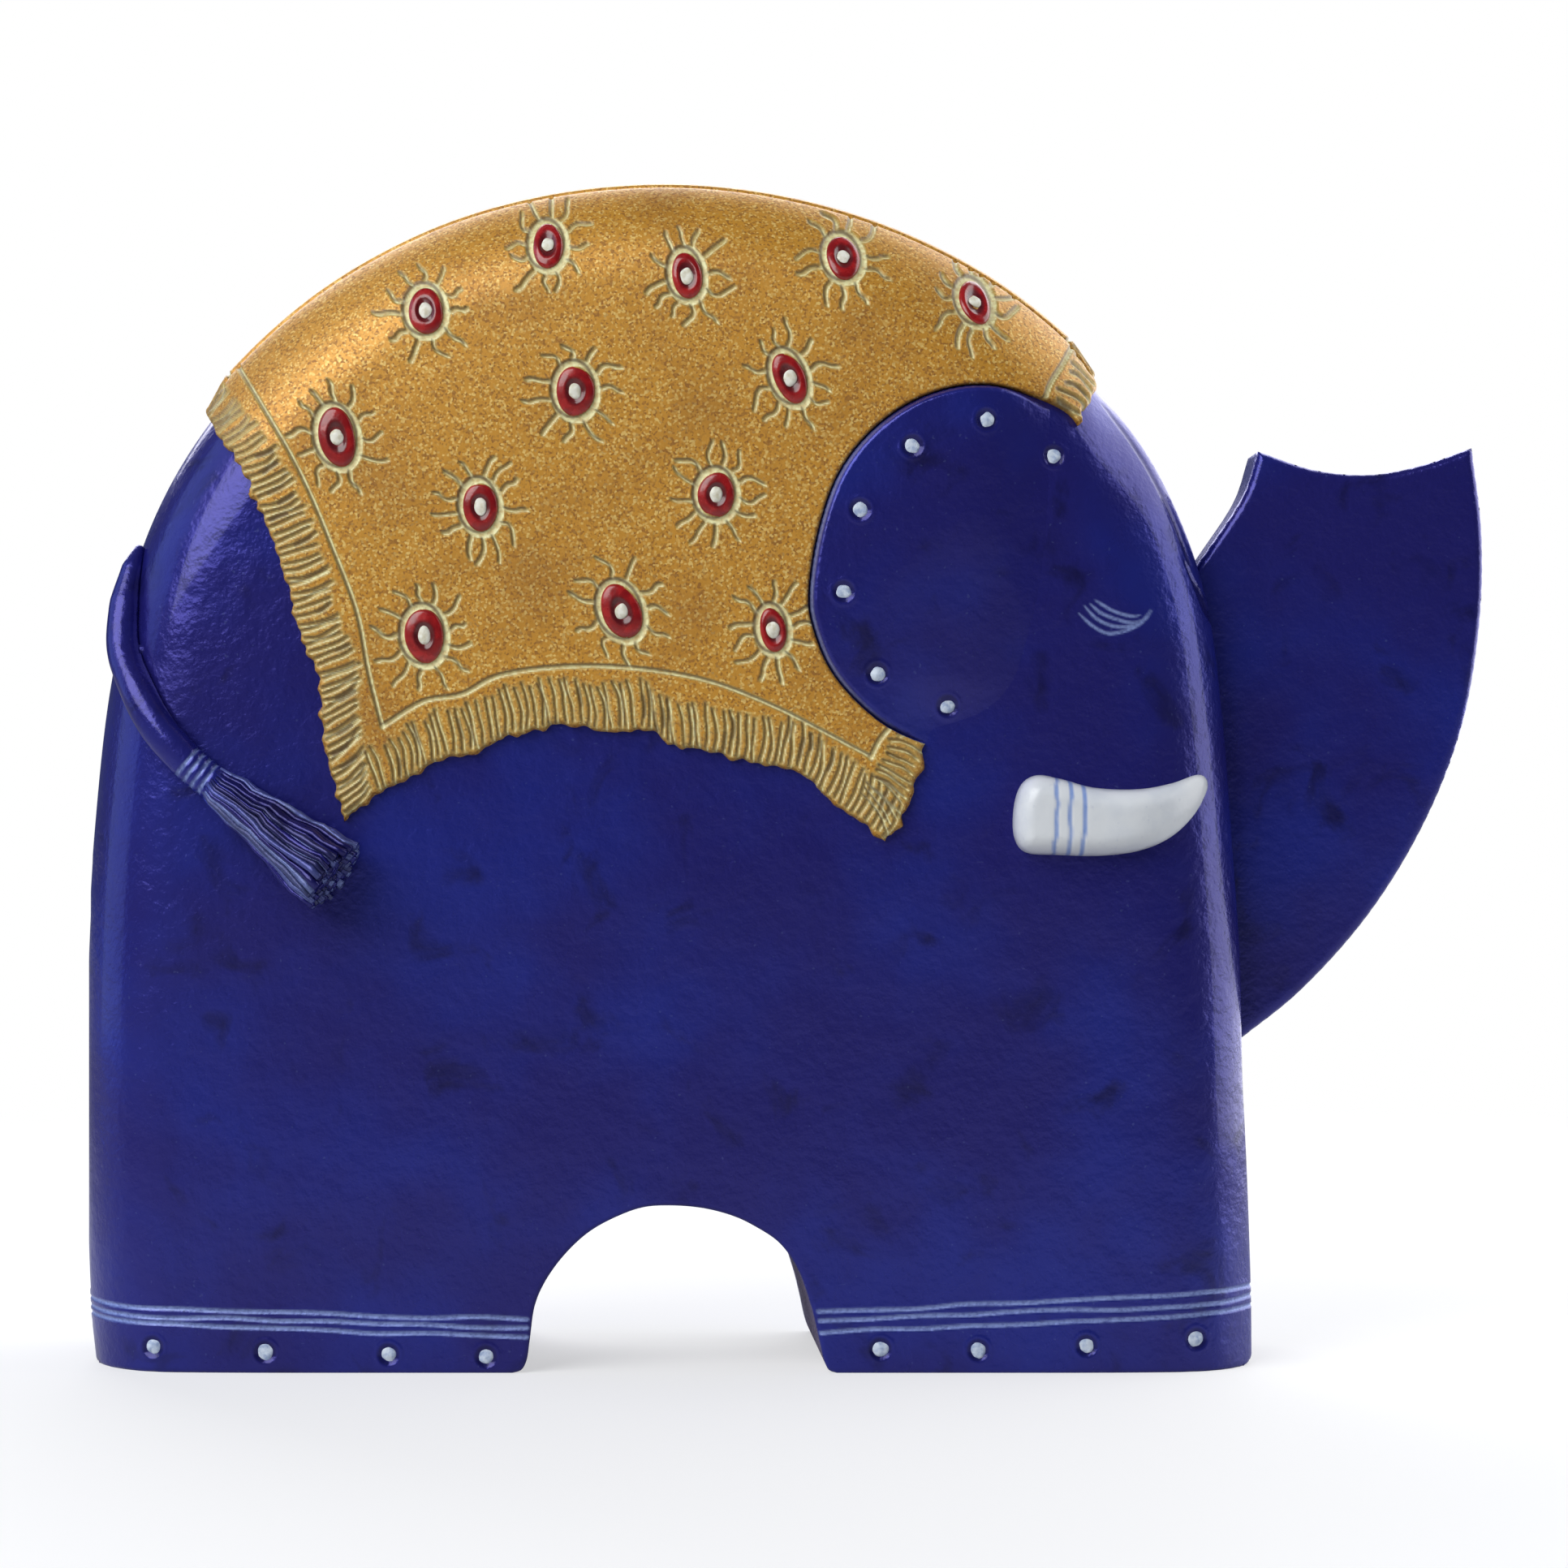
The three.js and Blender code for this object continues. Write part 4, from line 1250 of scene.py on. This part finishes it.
def on_strip(points):
    s, y = points.T
    return (s > crest_from - 1e-3) & (s < crest_to + 1e-3) & (np.abs(y) < CREST_HALF + 1e-3)


def crest_lift(sy):
    s, y = sy.T
    end = np.minimum(s - crest_from, crest_to - s)
    seam = 1 - quarter((CREST_HALF - np.abs(y)) / 0.5)
    thick = BLANKET_LIFT + SEAM_SHARE * CREST_SWELL * ease(end / HEM_FADE)
    return thick * quarter(end / 0.9) - 0.5 * seam * (end > 0.5), np.clip(end / 0.7, 0.15, 1)


crest = plate(
    "blanket_crest_strip", [crest_outline], on_strip, crest_board(), crest_lift, gold,
    place=on_crest,
)
stands_for(crest, "gold_paint", "blanket_crest")

# %% [markdown]
# ## Ears and tusks
# The ear is a rounded plate that stands proud at the back and fairs into the head in front,
# with a faint painted highlight along its rear edge. The tusk is a fuller plate, domed across
# and drawn out thin to its tip, with three painted stripes and painted shade round its edge.

# %% Ears
EAR_LIFT = 3.1


def ear_board():
    board = Board((0, 84), (48, 142), 0.07, layers=("pale", "painted_shade"))
    for at in EAR_DOTS:
        dot_pit(board, at)
    board.mark_busy(ear_outline, 1.4)
    return board.finish()


def ear_height(xz):
    x, z = xz.T
    across = ((x - 8) * 0.8 - (z - 112) * 0.6) / 38
    edge = distance_to(ear_tree, xz)
    rise = (1 - ease(across)) * (1 - ease((x - 26) / 13)) * (1 - ease((x - 12) / 9) * ease((98 - z) / 9))
    sink = 0.18 * ease((x - 24) / 12) + 0.18 * ease((across - 0.55) / 0.25)
    return np.maximum(EAR_LIFT * rise * quarter(edge / 1.1) - sink, -0.2), np.ones(len(xz))


# a painted highlight: a pale line just inside the ear's rear edge
def ear_rim_highlight(xz):
    edge = distance_to(ear_tree, xz)
    rear = 1 - ease((xz[:, 0] - 6) / 12)
    return 0.75 * rear * np.clip(1 - np.abs(edge - 0.35) / 0.3, 0, 1)


def in_ear(points):
    return inside(ear_outline, points)


for side in ("right", "left"):
    ear = plate(
        f"carved_ear_{side}", [ear_outline], in_ear, ear_board(), ear_height, lacquer,
        mirror=side == "left", extra={"pale": ear_rim_highlight},
    )
    stands_for(ear, "blue_lacquer", f"ear_{side}")

# %% Tusks
TUSK = [
    (31.9, 79.4), (31.9, 74.6), (33.2, 72.7), (38, 72.2), (44.3, 72.1), (49.4, 72.8), (53.2, 74.3),
    (56.2, 76.6), (58.3, 79.3), (59.4, 82), (58.9, 83.1), (57.9, 83.4), (54, 82.2), (49.5, 81.4),
    (43, 81.6), (38.4, 82.8), (34.9, 83.3), (33, 82.2),
]
TUSK_LIFT = 4.2
tusk_outline = smooth(TUSK, 0.2, closed=True)[:-1]
tusk_tree = tree_of(tusk_outline)


def tusk_board(seed):
    rng = random.Random(seed)
    board = Board((30, 70), (61, 85), 0.06, layers=("pale", "painted_shade"))
    for x in (37.3, 39.2, 41.1):
        stripe = [(x + rng.uniform(-0.12, 0.12) + 0.35 * k / 6, 71.8 + 11.2 * k / 6) for k in range(7)]
        board.stroke(smooth(stripe, 0.2), 0.28, 0.1, ends=(1, 1), layer="pale", strength=0.95)
    board.mark_busy(tusk_outline, 2.0)
    return board.finish()


def tusk_height(xz):
    edge = distance_to(tusk_tree, xz)
    thick = TUSK_LIFT * (1 - 0.84 * ease((xz[:, 0] - 47) / 12.4))
    return thick * quarter(edge / 3.0), np.clip(edge, 0, 1)


# painted shade along the tusk's edge, where it meets the flank
def tusk_edge_shade(xz):
    return np.clip(1 - distance_to(tusk_tree, xz) / 0.3, 0, 1) * 0.6


def in_tusk(points):
    return inside(tusk_outline, points)


for side, seed in (("right", 15), ("left", 16)):
    tusk = plate(
        f"painted_tusk_{side}", [tusk_outline], in_tusk, tusk_board(seed), tusk_height, white,
        mirror=side == "left", extra={"painted_shade": tusk_edge_shade}, detail=(1.2, 2),
    )
    stands_for(tusk, "ivory_paint", f"tusk_{side}")

# %% [markdown]
# ## The rope tail
# The tail is a thin cord laid along the rump, lofted ring by ring along a path that follows
# the flank. Handwork leaves it uneven, so its radius wanders a little, and four pale bands
# are cut into it above the tassel.

# %% Tail rope
TAIL_LINE = [
    (-91.2, 115.4), (-91.9, 107.4), (-91.7, 100.6), (-89.5, 94.8), (-86.9, 89.9), (-83.7, 85.8),
    (-80.4, 82.9), (-79.2, 82.0),
]
TAIL_RADII = [(0, 0.7), (3, 1.5), (8, 2.1), (15, 2.4), (22, 2.5), (45, 2.5)]
TAIL_LIFT = 1.6
BANDS = (1.3, 2.5, 3.7, 4.9)
ROPE_SIDES = 28
ROPE_STEP = 0.22


def rope():
    rng = np.random.default_rng(17)
    line = smooth(TAIL_LINE, ROPE_STEP)
    index = np.arange(len(line))
    run = index * ROPE_STEP
    radius = np.interp(run, *zip(*TAIL_RADII))
    knots = np.arange(0, len(line) + 20, 20)
    wander = np.interp(index, knots, rng.uniform(-0.1, 0.1, len(knots)))
    radius = radius + wander * np.clip(run / 8, 0, 1)
    centre = off_flank(line, np.minimum(TAIL_LIFT, radius * 0.7))
    way = np.gradient(centre, axis=0)
    way /= np.linalg.norm(way, axis=1)[:, None]
    out = off_flank(line, np.full(len(line), 1.0)) - off_flank(line, np.zeros(len(line)))
    out -= way * np.einsum("ij,ij->i", out, way)[:, None]
    out /= np.linalg.norm(out, axis=1)[:, None]
    side = np.cross(way, out)
    left = (len(line) - 1 - index) * ROPE_STEP
    angle = np.linspace(0, 2 * math.pi, ROPE_SIDES, endpoint=False)
    turned = 0.25 * np.sin(angle + 1)
    groove = sum(np.clip(1 - np.abs(left[:, None] + turned - band) / 0.34, 0, 1) for band in BANDS)
    lump = 1 + 0.02 * np.sin(3 * angle[None, :] + 0.03 * index[:, None])
    r = ((radius[:, None] - 0.24 * groove) * lump)[..., None]
    outward = np.cos(angle)[None, :, None] * out[:, None]
    sideways = np.sin(angle)[None, :, None] * side[:, None]
    rings = centre[:, None] + r * (outward + sideways)
    n, k = len(line), ROPE_SIDES
    points = np.vstack([rings.reshape(-1, 3), centre[0], centre[-1]])
    quads = [
        (i * k + j, i * k + (j + 1) % k, (i + 1) * k + (j + 1) % k, (i + 1) * k + j)
        for i in range(n - 1)
        for j in range(k)
    ]
    caps = [((j + 1) % k, j, n * k) for j in range(k)]
    caps += [((n - 1) * k + j, (n - 1) * k + (j + 1) % k, n * k + 1) for j in range(k)]
    wiped = rng.uniform(0.35, 1.1, groove.shape)
    pale = np.concatenate([np.clip(groove * wiped * 1.3, 0, 1).ravel(), [0, 0]])
    return make_piece("tail_cord", points, quads + caps, lacquer, {"pale": pale, "painted_shade": 0 * pale})


tail = rope()
stands_for(tail, "blue_lacquer", "tail_rope")

# %% [markdown]
# ## The tassel
# The tassel spreads from the rope's neck to a cut end face, and its surface is all strands.
# That is a job for Geometry Nodes: points on a sunflower spiral at the neck, a thin strand on
# each, turned and stretched towards the same spiral drawn larger at the cut end, and a
# little noise so that no two lie alike.

# %% A small helper for geometry trees
class Tree(Graph):
    """A Geometry Nodes tree under construction, with named inputs."""

    def __init__(self, name, **inputs):
        super().__init__(bpy.data.node_groups.new(name, "GeometryNodeTree"))
        kinds = {int: "NodeSocketInt", float: "NodeSocketFloat"}
        face = self.tree.interface
        face.new_socket("Geometry", in_out="INPUT", socket_type="NodeSocketGeometry")
        self.inputs = inputs
        for key, value in inputs.items():
            face.new_socket(key, in_out="INPUT", socket_type=kinds[type(value)])
        face.new_socket("Geometry", in_out="OUTPUT", socket_type="NodeSocketGeometry")
        self.start = self.node("NodeGroupInput")

    def given(self, name):
        return self.start.out(name)

    def combine(self, x, y, z):
        return self.node("ShaderNodeCombineXYZ", {}, {0: x, 1: y, 2: z})

    def random(self, low, high, seed):
        inputs = {2: low, 3: high, 8: seed}
        return self.node("FunctionNodeRandomValue", {"data_type": "FLOAT"}, inputs, 1)

    def shaken(self, placed, scale, amount):
        """Instances made real, with every point moved a little by noise; amount is in metres."""
        solid = self.node("GeometryNodeRealizeInstances", {}, {0: placed})
        wave = self.node("ShaderNodeTexNoise", {}, {"Scale": scale, "Detail": 1.0}, 1)
        centred = self.node("ShaderNodeVectorMath", {"operation": "SUBTRACT"}, {0: wave, 1: (0.5,) * 3})
        shift = self.node("ShaderNodeVectorMath", {"operation": "MULTIPLY"}, {0: centred, 1: amount})
        moved = self.node("GeometryNodeSetPosition", {}, {0: solid, 3: shift})
        return self.node("GeometryNodeSetShadeSmooth", {}, {0: moved})

    def build(self, geometry, material, name, base=None):
        """Runs the tree on a base mesh and returns the result as a plain mesh object."""
        solid = self.node("GeometryNodeRealizeInstances", {}, {0: geometry})
        shown = self.node("GeometryNodeSetMaterial", {}, {0: solid, 2: material})
        end = self.tree.nodes.new("NodeGroupOutput")
        self.tree.links.new(shown.socket, end.inputs[0])
        mesh = base or bpy.data.meshes.new(name)
        holder = bpy.data.objects.new(name + "_base", mesh)
        bpy.context.scene.collection.objects.link(holder)
        modifier = holder.modifiers.new("build", "NODES")
        modifier.node_group = self.tree
        for item in self.tree.interface.items_tree:
            if item.in_out == "INPUT" and item.name in self.inputs:
                modifier[item.identifier] = self.inputs[item.name]
        seen = holder.evaluated_get(bpy.context.evaluated_depsgraph_get())
        plain = bpy.data.meshes.new_from_object(seen)
        bpy.data.objects.remove(holder)
        plain.name = name
        piece = bpy.data.objects.new(name, plain)
        bpy.context.scene.collection.objects.link(piece)
        print(f"{name}: {len(plain.vertices)} vertices, {len(plain.polygons)} faces")
        return piece


# %% Strands
NECK, CUT_END = (-79.6, 82.2), (-62.3, 69.1)
NECK_RADIUS, END_RADIUS, END_LIFT = 2.3, 5.5, 5.5
neck_at, end_at = (
    off_flank([at], np.array([lift]))[0] for at, lift in ((NECK, TAIL_LIFT), (CUT_END, END_LIFT))
)
TASSEL_LENGTH = float(np.linalg.norm(end_at - neck_at))


def strands():
    tree = Tree(
        "strands", Count=130, Neck=NECK_RADIUS * MM, End=END_RADIUS * MM,
        Length=TASSEL_LENGTH * MM, Thickness=0.45 * MM,
    )
    place = tree.node("GeometryNodeInputIndex")
    share = ((place + 0.5) / tree.given("Count")) ** 0.5
    angle = place * 2.39996
    across, beside = angle.sum("COSINE"), angle.sum("SINE")

    def spot(radius, height):
        reach = share * radius
        return tree.combine(across * reach, beside * reach, height)

    low = spot(tree.given("Neck"), 0.0)
    uneven = tree.random(0.965, 1.02, 4)
    high = spot(tree.given("End"), tree.given("Length") * uneven)
    points = tree.node("GeometryNodePoints", {}, {"Count": tree.given("Count"), "Position": low})
    way = tree.node("ShaderNodeVectorMath", {"operation": "SUBTRACT"}, {0: high, 1: low})
    turn = tree.node("FunctionNodeAlignRotationToVector", {"axis": "Z"}, {"Vector": way})
    length = tree.node("ShaderNodeVectorMath", {"operation": "LENGTH"}, {0: way}, "Value")
    strand = tree.node("GeometryNodeMeshCone", {}, {
        "Vertices": 8, "Side Segments": 12, "Radius Top": 1.0, "Radius Bottom": 0.62, "Depth": 1.0,
    }, "Mesh")
    size = tree.combine(tree.given("Thickness"), tree.given("Thickness"), length)
    # some strands painted darker, as painted shade between strands, and some lighter, as painted
    # highlights
    for key, *limits, seed in (("painted_shade", -0.7, 1.3, 7), ("pale", -0.25, 0.6, 8)):
        amount = tree.random(*limits, seed)
        points = tree.node("GeometryNodeStoreNamedAttribute", {}, {0: points, 2: key, 3: amount})
    placed = tree.node("GeometryNodeInstanceOnPoints", {}, {0: points, 2: strand, 5: turn, 6: size})
    shaken = tree.shaken(placed, 220.0, (0.0022, 0.0022, 0.0))
    return tree.build(shaken, lacquer, "tassel_strands")


def stand_along(piece, start, end):
    """Bakes a piece drawn up the z axis onto the way from start to end."""
    way = Vector(end - start)
    turn = way.to_track_quat("Z", "Y").to_matrix().to_4x4()
    turn.translation = Vector((start + (mid_x, mid_y, 0)) * MM)
    piece.data.transform(turn)
    piece.data.update()


tassel = strands()
stand_along(tassel, neck_at, end_at)
stands_for(tassel, "blue_lacquer", "tail_tassel")

# %% [markdown]
# ## Enamel, pips and dots
# Each eye on the blanket holds a drop of red enamel with a dimple pressed in its middle, and
# a cream pip in the dimple. Pale blue dots of the same kind sit round the ear and above the
# feet. The drops are turned discs laid on the flank; the dots are one small dome repeated by
# Geometry Nodes wherever a point says.

# %% Enamel drops
DROP_FOOT, DROP_HEIGHT, DROP_UNDER = BLANKET_LIFT - 0.1, 0.62, 0.6
DIMPLE_RADIUS = 1.35


def drops(side, seed):
    """All the drops of one flank, each from its top middle out to the edge and back under."""
    rng = random.Random(seed)
    rings, sides = 14, 44
    angle = np.linspace(0, 2 * math.pi, sides, endpoint=False)
    share = np.linspace(0, 1, rings + 1)[1:]
    points, faces = [], []
    for (x, z), wide, tall, lean in EYES:
        lean = math.radians(lean + rng.uniform(-3, 3))
        wobble = 1 + 0.03 * np.sin(2 * angle + rng.uniform(0, 6))
        wobble += 0.02 * np.sin(3 * angle + rng.uniform(0, 6))
        u, v = wide * wobble * np.cos(angle), tall * wobble * np.sin(angle)
        cos, sin = math.cos(lean), math.sin(lean)
        flat = np.column_stack([u * cos - v * sin, v * cos + u * sin])
        middle = np.array([(x, z)])
        grid = np.vstack([middle, *(middle + flat * s for s in (*share, 0.97)), middle])
        dome = DROP_FOOT + DROP_HEIGHT * np.sqrt(1 - share**2.6)
        dimple = DROP_HEIGHT * np.clip(1 - (share * wide / DIMPLE_RADIUS) ** 2, 0, 1)
        lifts = np.r_[DROP_FOOT, np.repeat(dome - dimple, sides), np.full(sides + 1, DROP_UNDER)]
        start = sum(len(p) for p in points)
        points.append(off_flank(grid, lifts + crest_swell(from_edge(grid)[0])))
        last = start + 1 + (rings + 1) * sides
        for j in range(sides):
            k = (j + 1) % sides
            faces.append((start, start + 1 + j, start + 1 + k))
            for r in range(rings):
                a, b = start + 1 + r * sides, start + 1 + (r + 1) * sides
                faces.append((a + j, b + j, b + k, a + k))
            faces.append((last - sides + k, last - sides + j, last))
    points = np.vstack(points)
    if side == "left":
        points[:, 1] *= -1
        faces = [f[::-1] for f in faces]
    # painted shade round the inside of the dimple and at its middle
    dark = np.repeat(np.clip(1.5 - np.abs(share - 0.42) * 7, 0, 1), sides)
    painted_shade = np.tile(np.r_[1, dark, np.zeros(sides + 1)], len(EYES))
    return make_piece(f"enamel_drops_{side}", points, faces, enamel, {"painted_shade": painted_shade})


# %% Dots
DOT_SINK, EAR_DOT, FOOT_DOT = 0.38, 1.12, 1.15
PIP_RISE, PIP = 0.12, 0.92


def dots(name, places, material, flip, tall=1.0):
    """A small uneven dome on each (x, z, lift, radius)."""
    values = np.array(places)
    at = off_flank(values[:, :2], values[:, 2])
    up = off_flank(values[:, :2], values[:, 2] + 1) - at
    if flip:
        at[:, 1] *= -1
        up[:, 1] *= -1
    base = bpy.data.meshes.new(name)
    base.from_pydata(((at + (mid_x, mid_y, 0)) * MM).tolist(), [], [])
    layers = {"up": ("FLOAT_VECTOR", "vector", up), "size": ("FLOAT", "value", values[:, 3] * MM)}
    for key, (kind, field, data) in layers.items():
        layer = base.attributes.new(key, kind, "POINT")
        layer.data.foreach_set(field, data.astype(np.float32).ravel())
    tree = Tree(name, Height=0.36, Tall=tall)
    up, size = (
        tree.node("GeometryNodeInputNamedAttribute", {"data_type": kind}, {0: key})
        for key, (kind, *_) in layers.items()
    )
    dome = tree.node("GeometryNodeMeshUVSphere", {}, {"Segments": 24, "Rings": 14, "Radius": 1.0}, "Mesh")
    turn = tree.node("FunctionNodeAlignRotationToVector", {"axis": "Z"}, {"Vector": up})
    uneven = tree.random(0.9, 1.1, 6)
    scale = tree.combine(size, size * uneven * tree.given("Tall"), size * tree.given("Height"))
    inputs = {0: tree.given("Geometry"), 2: dome, 5: turn, 6: scale}
    placed = tree.node("GeometryNodeInstanceOnPoints", {}, inputs)
    return tree.build(tree.shaken(placed, 700.0, (0.0005,) * 3), material, name, base)


for side, seed in (("right", 18), ("left", 19)):
    drop = drops(side, seed)
    swells = crest_swell(from_edge([at for at, *_ in EYES])[0])
    rises = BLANKET_LIFT + PIP_RISE + swells
    pips = [(x, z, rise, PIP) for ((x, z), *_), rise in zip(EYES, rises)]
    pip = dots(f"eye_pips_{side}", pips, cream_paint, side == "left", 1.3)
    ear_lifts, _ = ear_height(np.array(EAR_DOTS, float))
    sky = [(x, z, max(lift, 0) - DOT_SINK, EAR_DOT) for (x, z), lift in zip(EAR_DOTS, ear_lifts)]
    sky += [(x, z, -DOT_SINK, FOOT_DOT) for x, z in FOOT_DOTS]
    dot = dots(f"blue_dots_{side}", sky, sky_paint, side == "left")
    for piece, slot in ((drop, "gold_paint"), (pip, "ivory_paint"), (dot, "ivory_paint")):
        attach(piece, "root")

# %% [markdown]
# ## Hidden pins
# The dowels and pins inside the joints keep their CAD shapes and only need turned wood. The
# peg of the tail comes out beside the rope, so it is painted with the same lacquer.

# %% Wood on the pins
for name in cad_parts:
    if "dowel" in name or "pin" in name or "peg" in name:
        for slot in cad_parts[name].material_slots:
            slot.material = lacquer if "peg" in name else wood

# %% [markdown]
# ## Floor, light and camera
# A pale floor under four softboxes: the key high on the left in front, one low beyond the
# trunk that draws the long highlight down the front edge, a blue fill on the left and a fill
# from behind. The camera stands square to the flank, a little over half a metre away, so
# that the far side hides behind the near one.

# %% The stage
def floor():
    size = 3.0
    mesh = bpy.data.meshes.new("floor")
    corners = [(-size, -size, 0), (size, -size, 0), (size, size, 0), (-size, size, 0)]
    mesh.from_pydata(corners, [], [(0, 1, 2, 3)])
    m = Finish("pale_floor", Roughness=0.7)
    tone = m.noise(400, 2.0)
    away = m.node("ShaderNodeVectorMath", {"operation": "LENGTH"}, {0: m.place}, "Value")
    far = away.step(0.16, 0.5) * 0.45 + 0.55
    seen = m.node("ShaderNodeLightPath", {}, {}, "Is Camera Ray")
    m.finish(Base_Color=m.mix(tone, srgb(243, 243, 243), srgb(248, 248, 248)))
    glow = m.node("ShaderNodeEmission", {}, {0: (1, 1, 1, 1), 1: 0.3 + 0.7 * seen})
    both = m.node("ShaderNodeMixShader", {}, {0: far, 2: glow})
    m.tree.links.new(m.shader.outputs[0], both.owner.inputs[1])
    m.tree.links.new(both.socket, m.tree.nodes["Material Output"].inputs[0])
    mesh.materials.append(m.material)
    made = bpy.data.objects.new("floor", mesh)
    bpy.context.scene.collection.objects.link(made)


def softbox(name, at, look, wide, tall, radiance, tint=(1, 1, 1)):
    """A rectangle of light at one place that faces another; radiance sets how bright it looks."""
    light = bpy.data.lights.new(name, "AREA")
    light.shape, light.size, light.size_y = "RECTANGLE", wide, tall
    light.energy = radiance * math.pi * wide * tall
    light.color = tint
    lamp = bpy.data.objects.new(name, light)
    lamp.location = at
    lamp.rotation_euler = (Vector(look) - Vector(at)).to_track_quat("-Z", "Y").to_euler()
    lamp.visible_camera = False
    bpy.context.scene.collection.objects.link(lamp)


def room_light():
    world = bpy.data.worlds.new("room")
    world.use_nodes = True
    graph = Graph(world.node_tree)
    world.node_tree.nodes.clear()
    seen = graph.node("ShaderNodeLightPath", {}, {}, "Is Camera Ray")
    dim = graph.node("ShaderNodeBackground", {}, {0: (0.6, 0.7, 1, 1), 1: 0.12})
    white_room = graph.node("ShaderNodeBackground", {}, {0: (1, 1, 1, 1), 1: 1.0})
    both = graph.node("ShaderNodeMixShader", {}, {0: seen, 1: dim, 2: white_room})
    output = world.node_tree.nodes.new("ShaderNodeOutputWorld")
    world.node_tree.links.new(both.socket, output.inputs[0])
    bpy.context.scene.world = world


floor()
room_light()
softbox("key", (-0.66, -0.72, 0.78), (-0.02, 0, 0.09), 1.0, 1.0, 4.2)
softbox("edge", (0.47, 0.34, 0.24), (0.06, 0.03, 0.08), 1.2, 1.0, 2.4)
softbox("left_fill", (-0.9, 0.1, 0.4), (-0.07, 0.0, 0.08), 0.6, 0.9, 1.0, (0.45, 0.62, 1.0))
softbox("back_fill", (-0.3, 1.1, 0.8), (0.0, 0.0, 0.08), 0.8, 0.8, 4)
bpy.context.scene.view_settings.view_transform = "Standard"

# %% The camera
CAMERA_AWAY, CAMERA_HEIGHT, LENS = 640.0, 82.1, 101.5
camera = bpy.data.objects.new("camera", bpy.data.cameras.new("camera"))
camera.data.lens = LENS
camera.data.sensor_width = 36
camera.location = (0, (mid_y - CAMERA_AWAY) * MM, CAMERA_HEIGHT * MM)
camera.rotation_euler = (math.pi / 2, 0, 0)
bpy.context.scene.collection.objects.link(camera)
bpy.context.scene.camera = camera
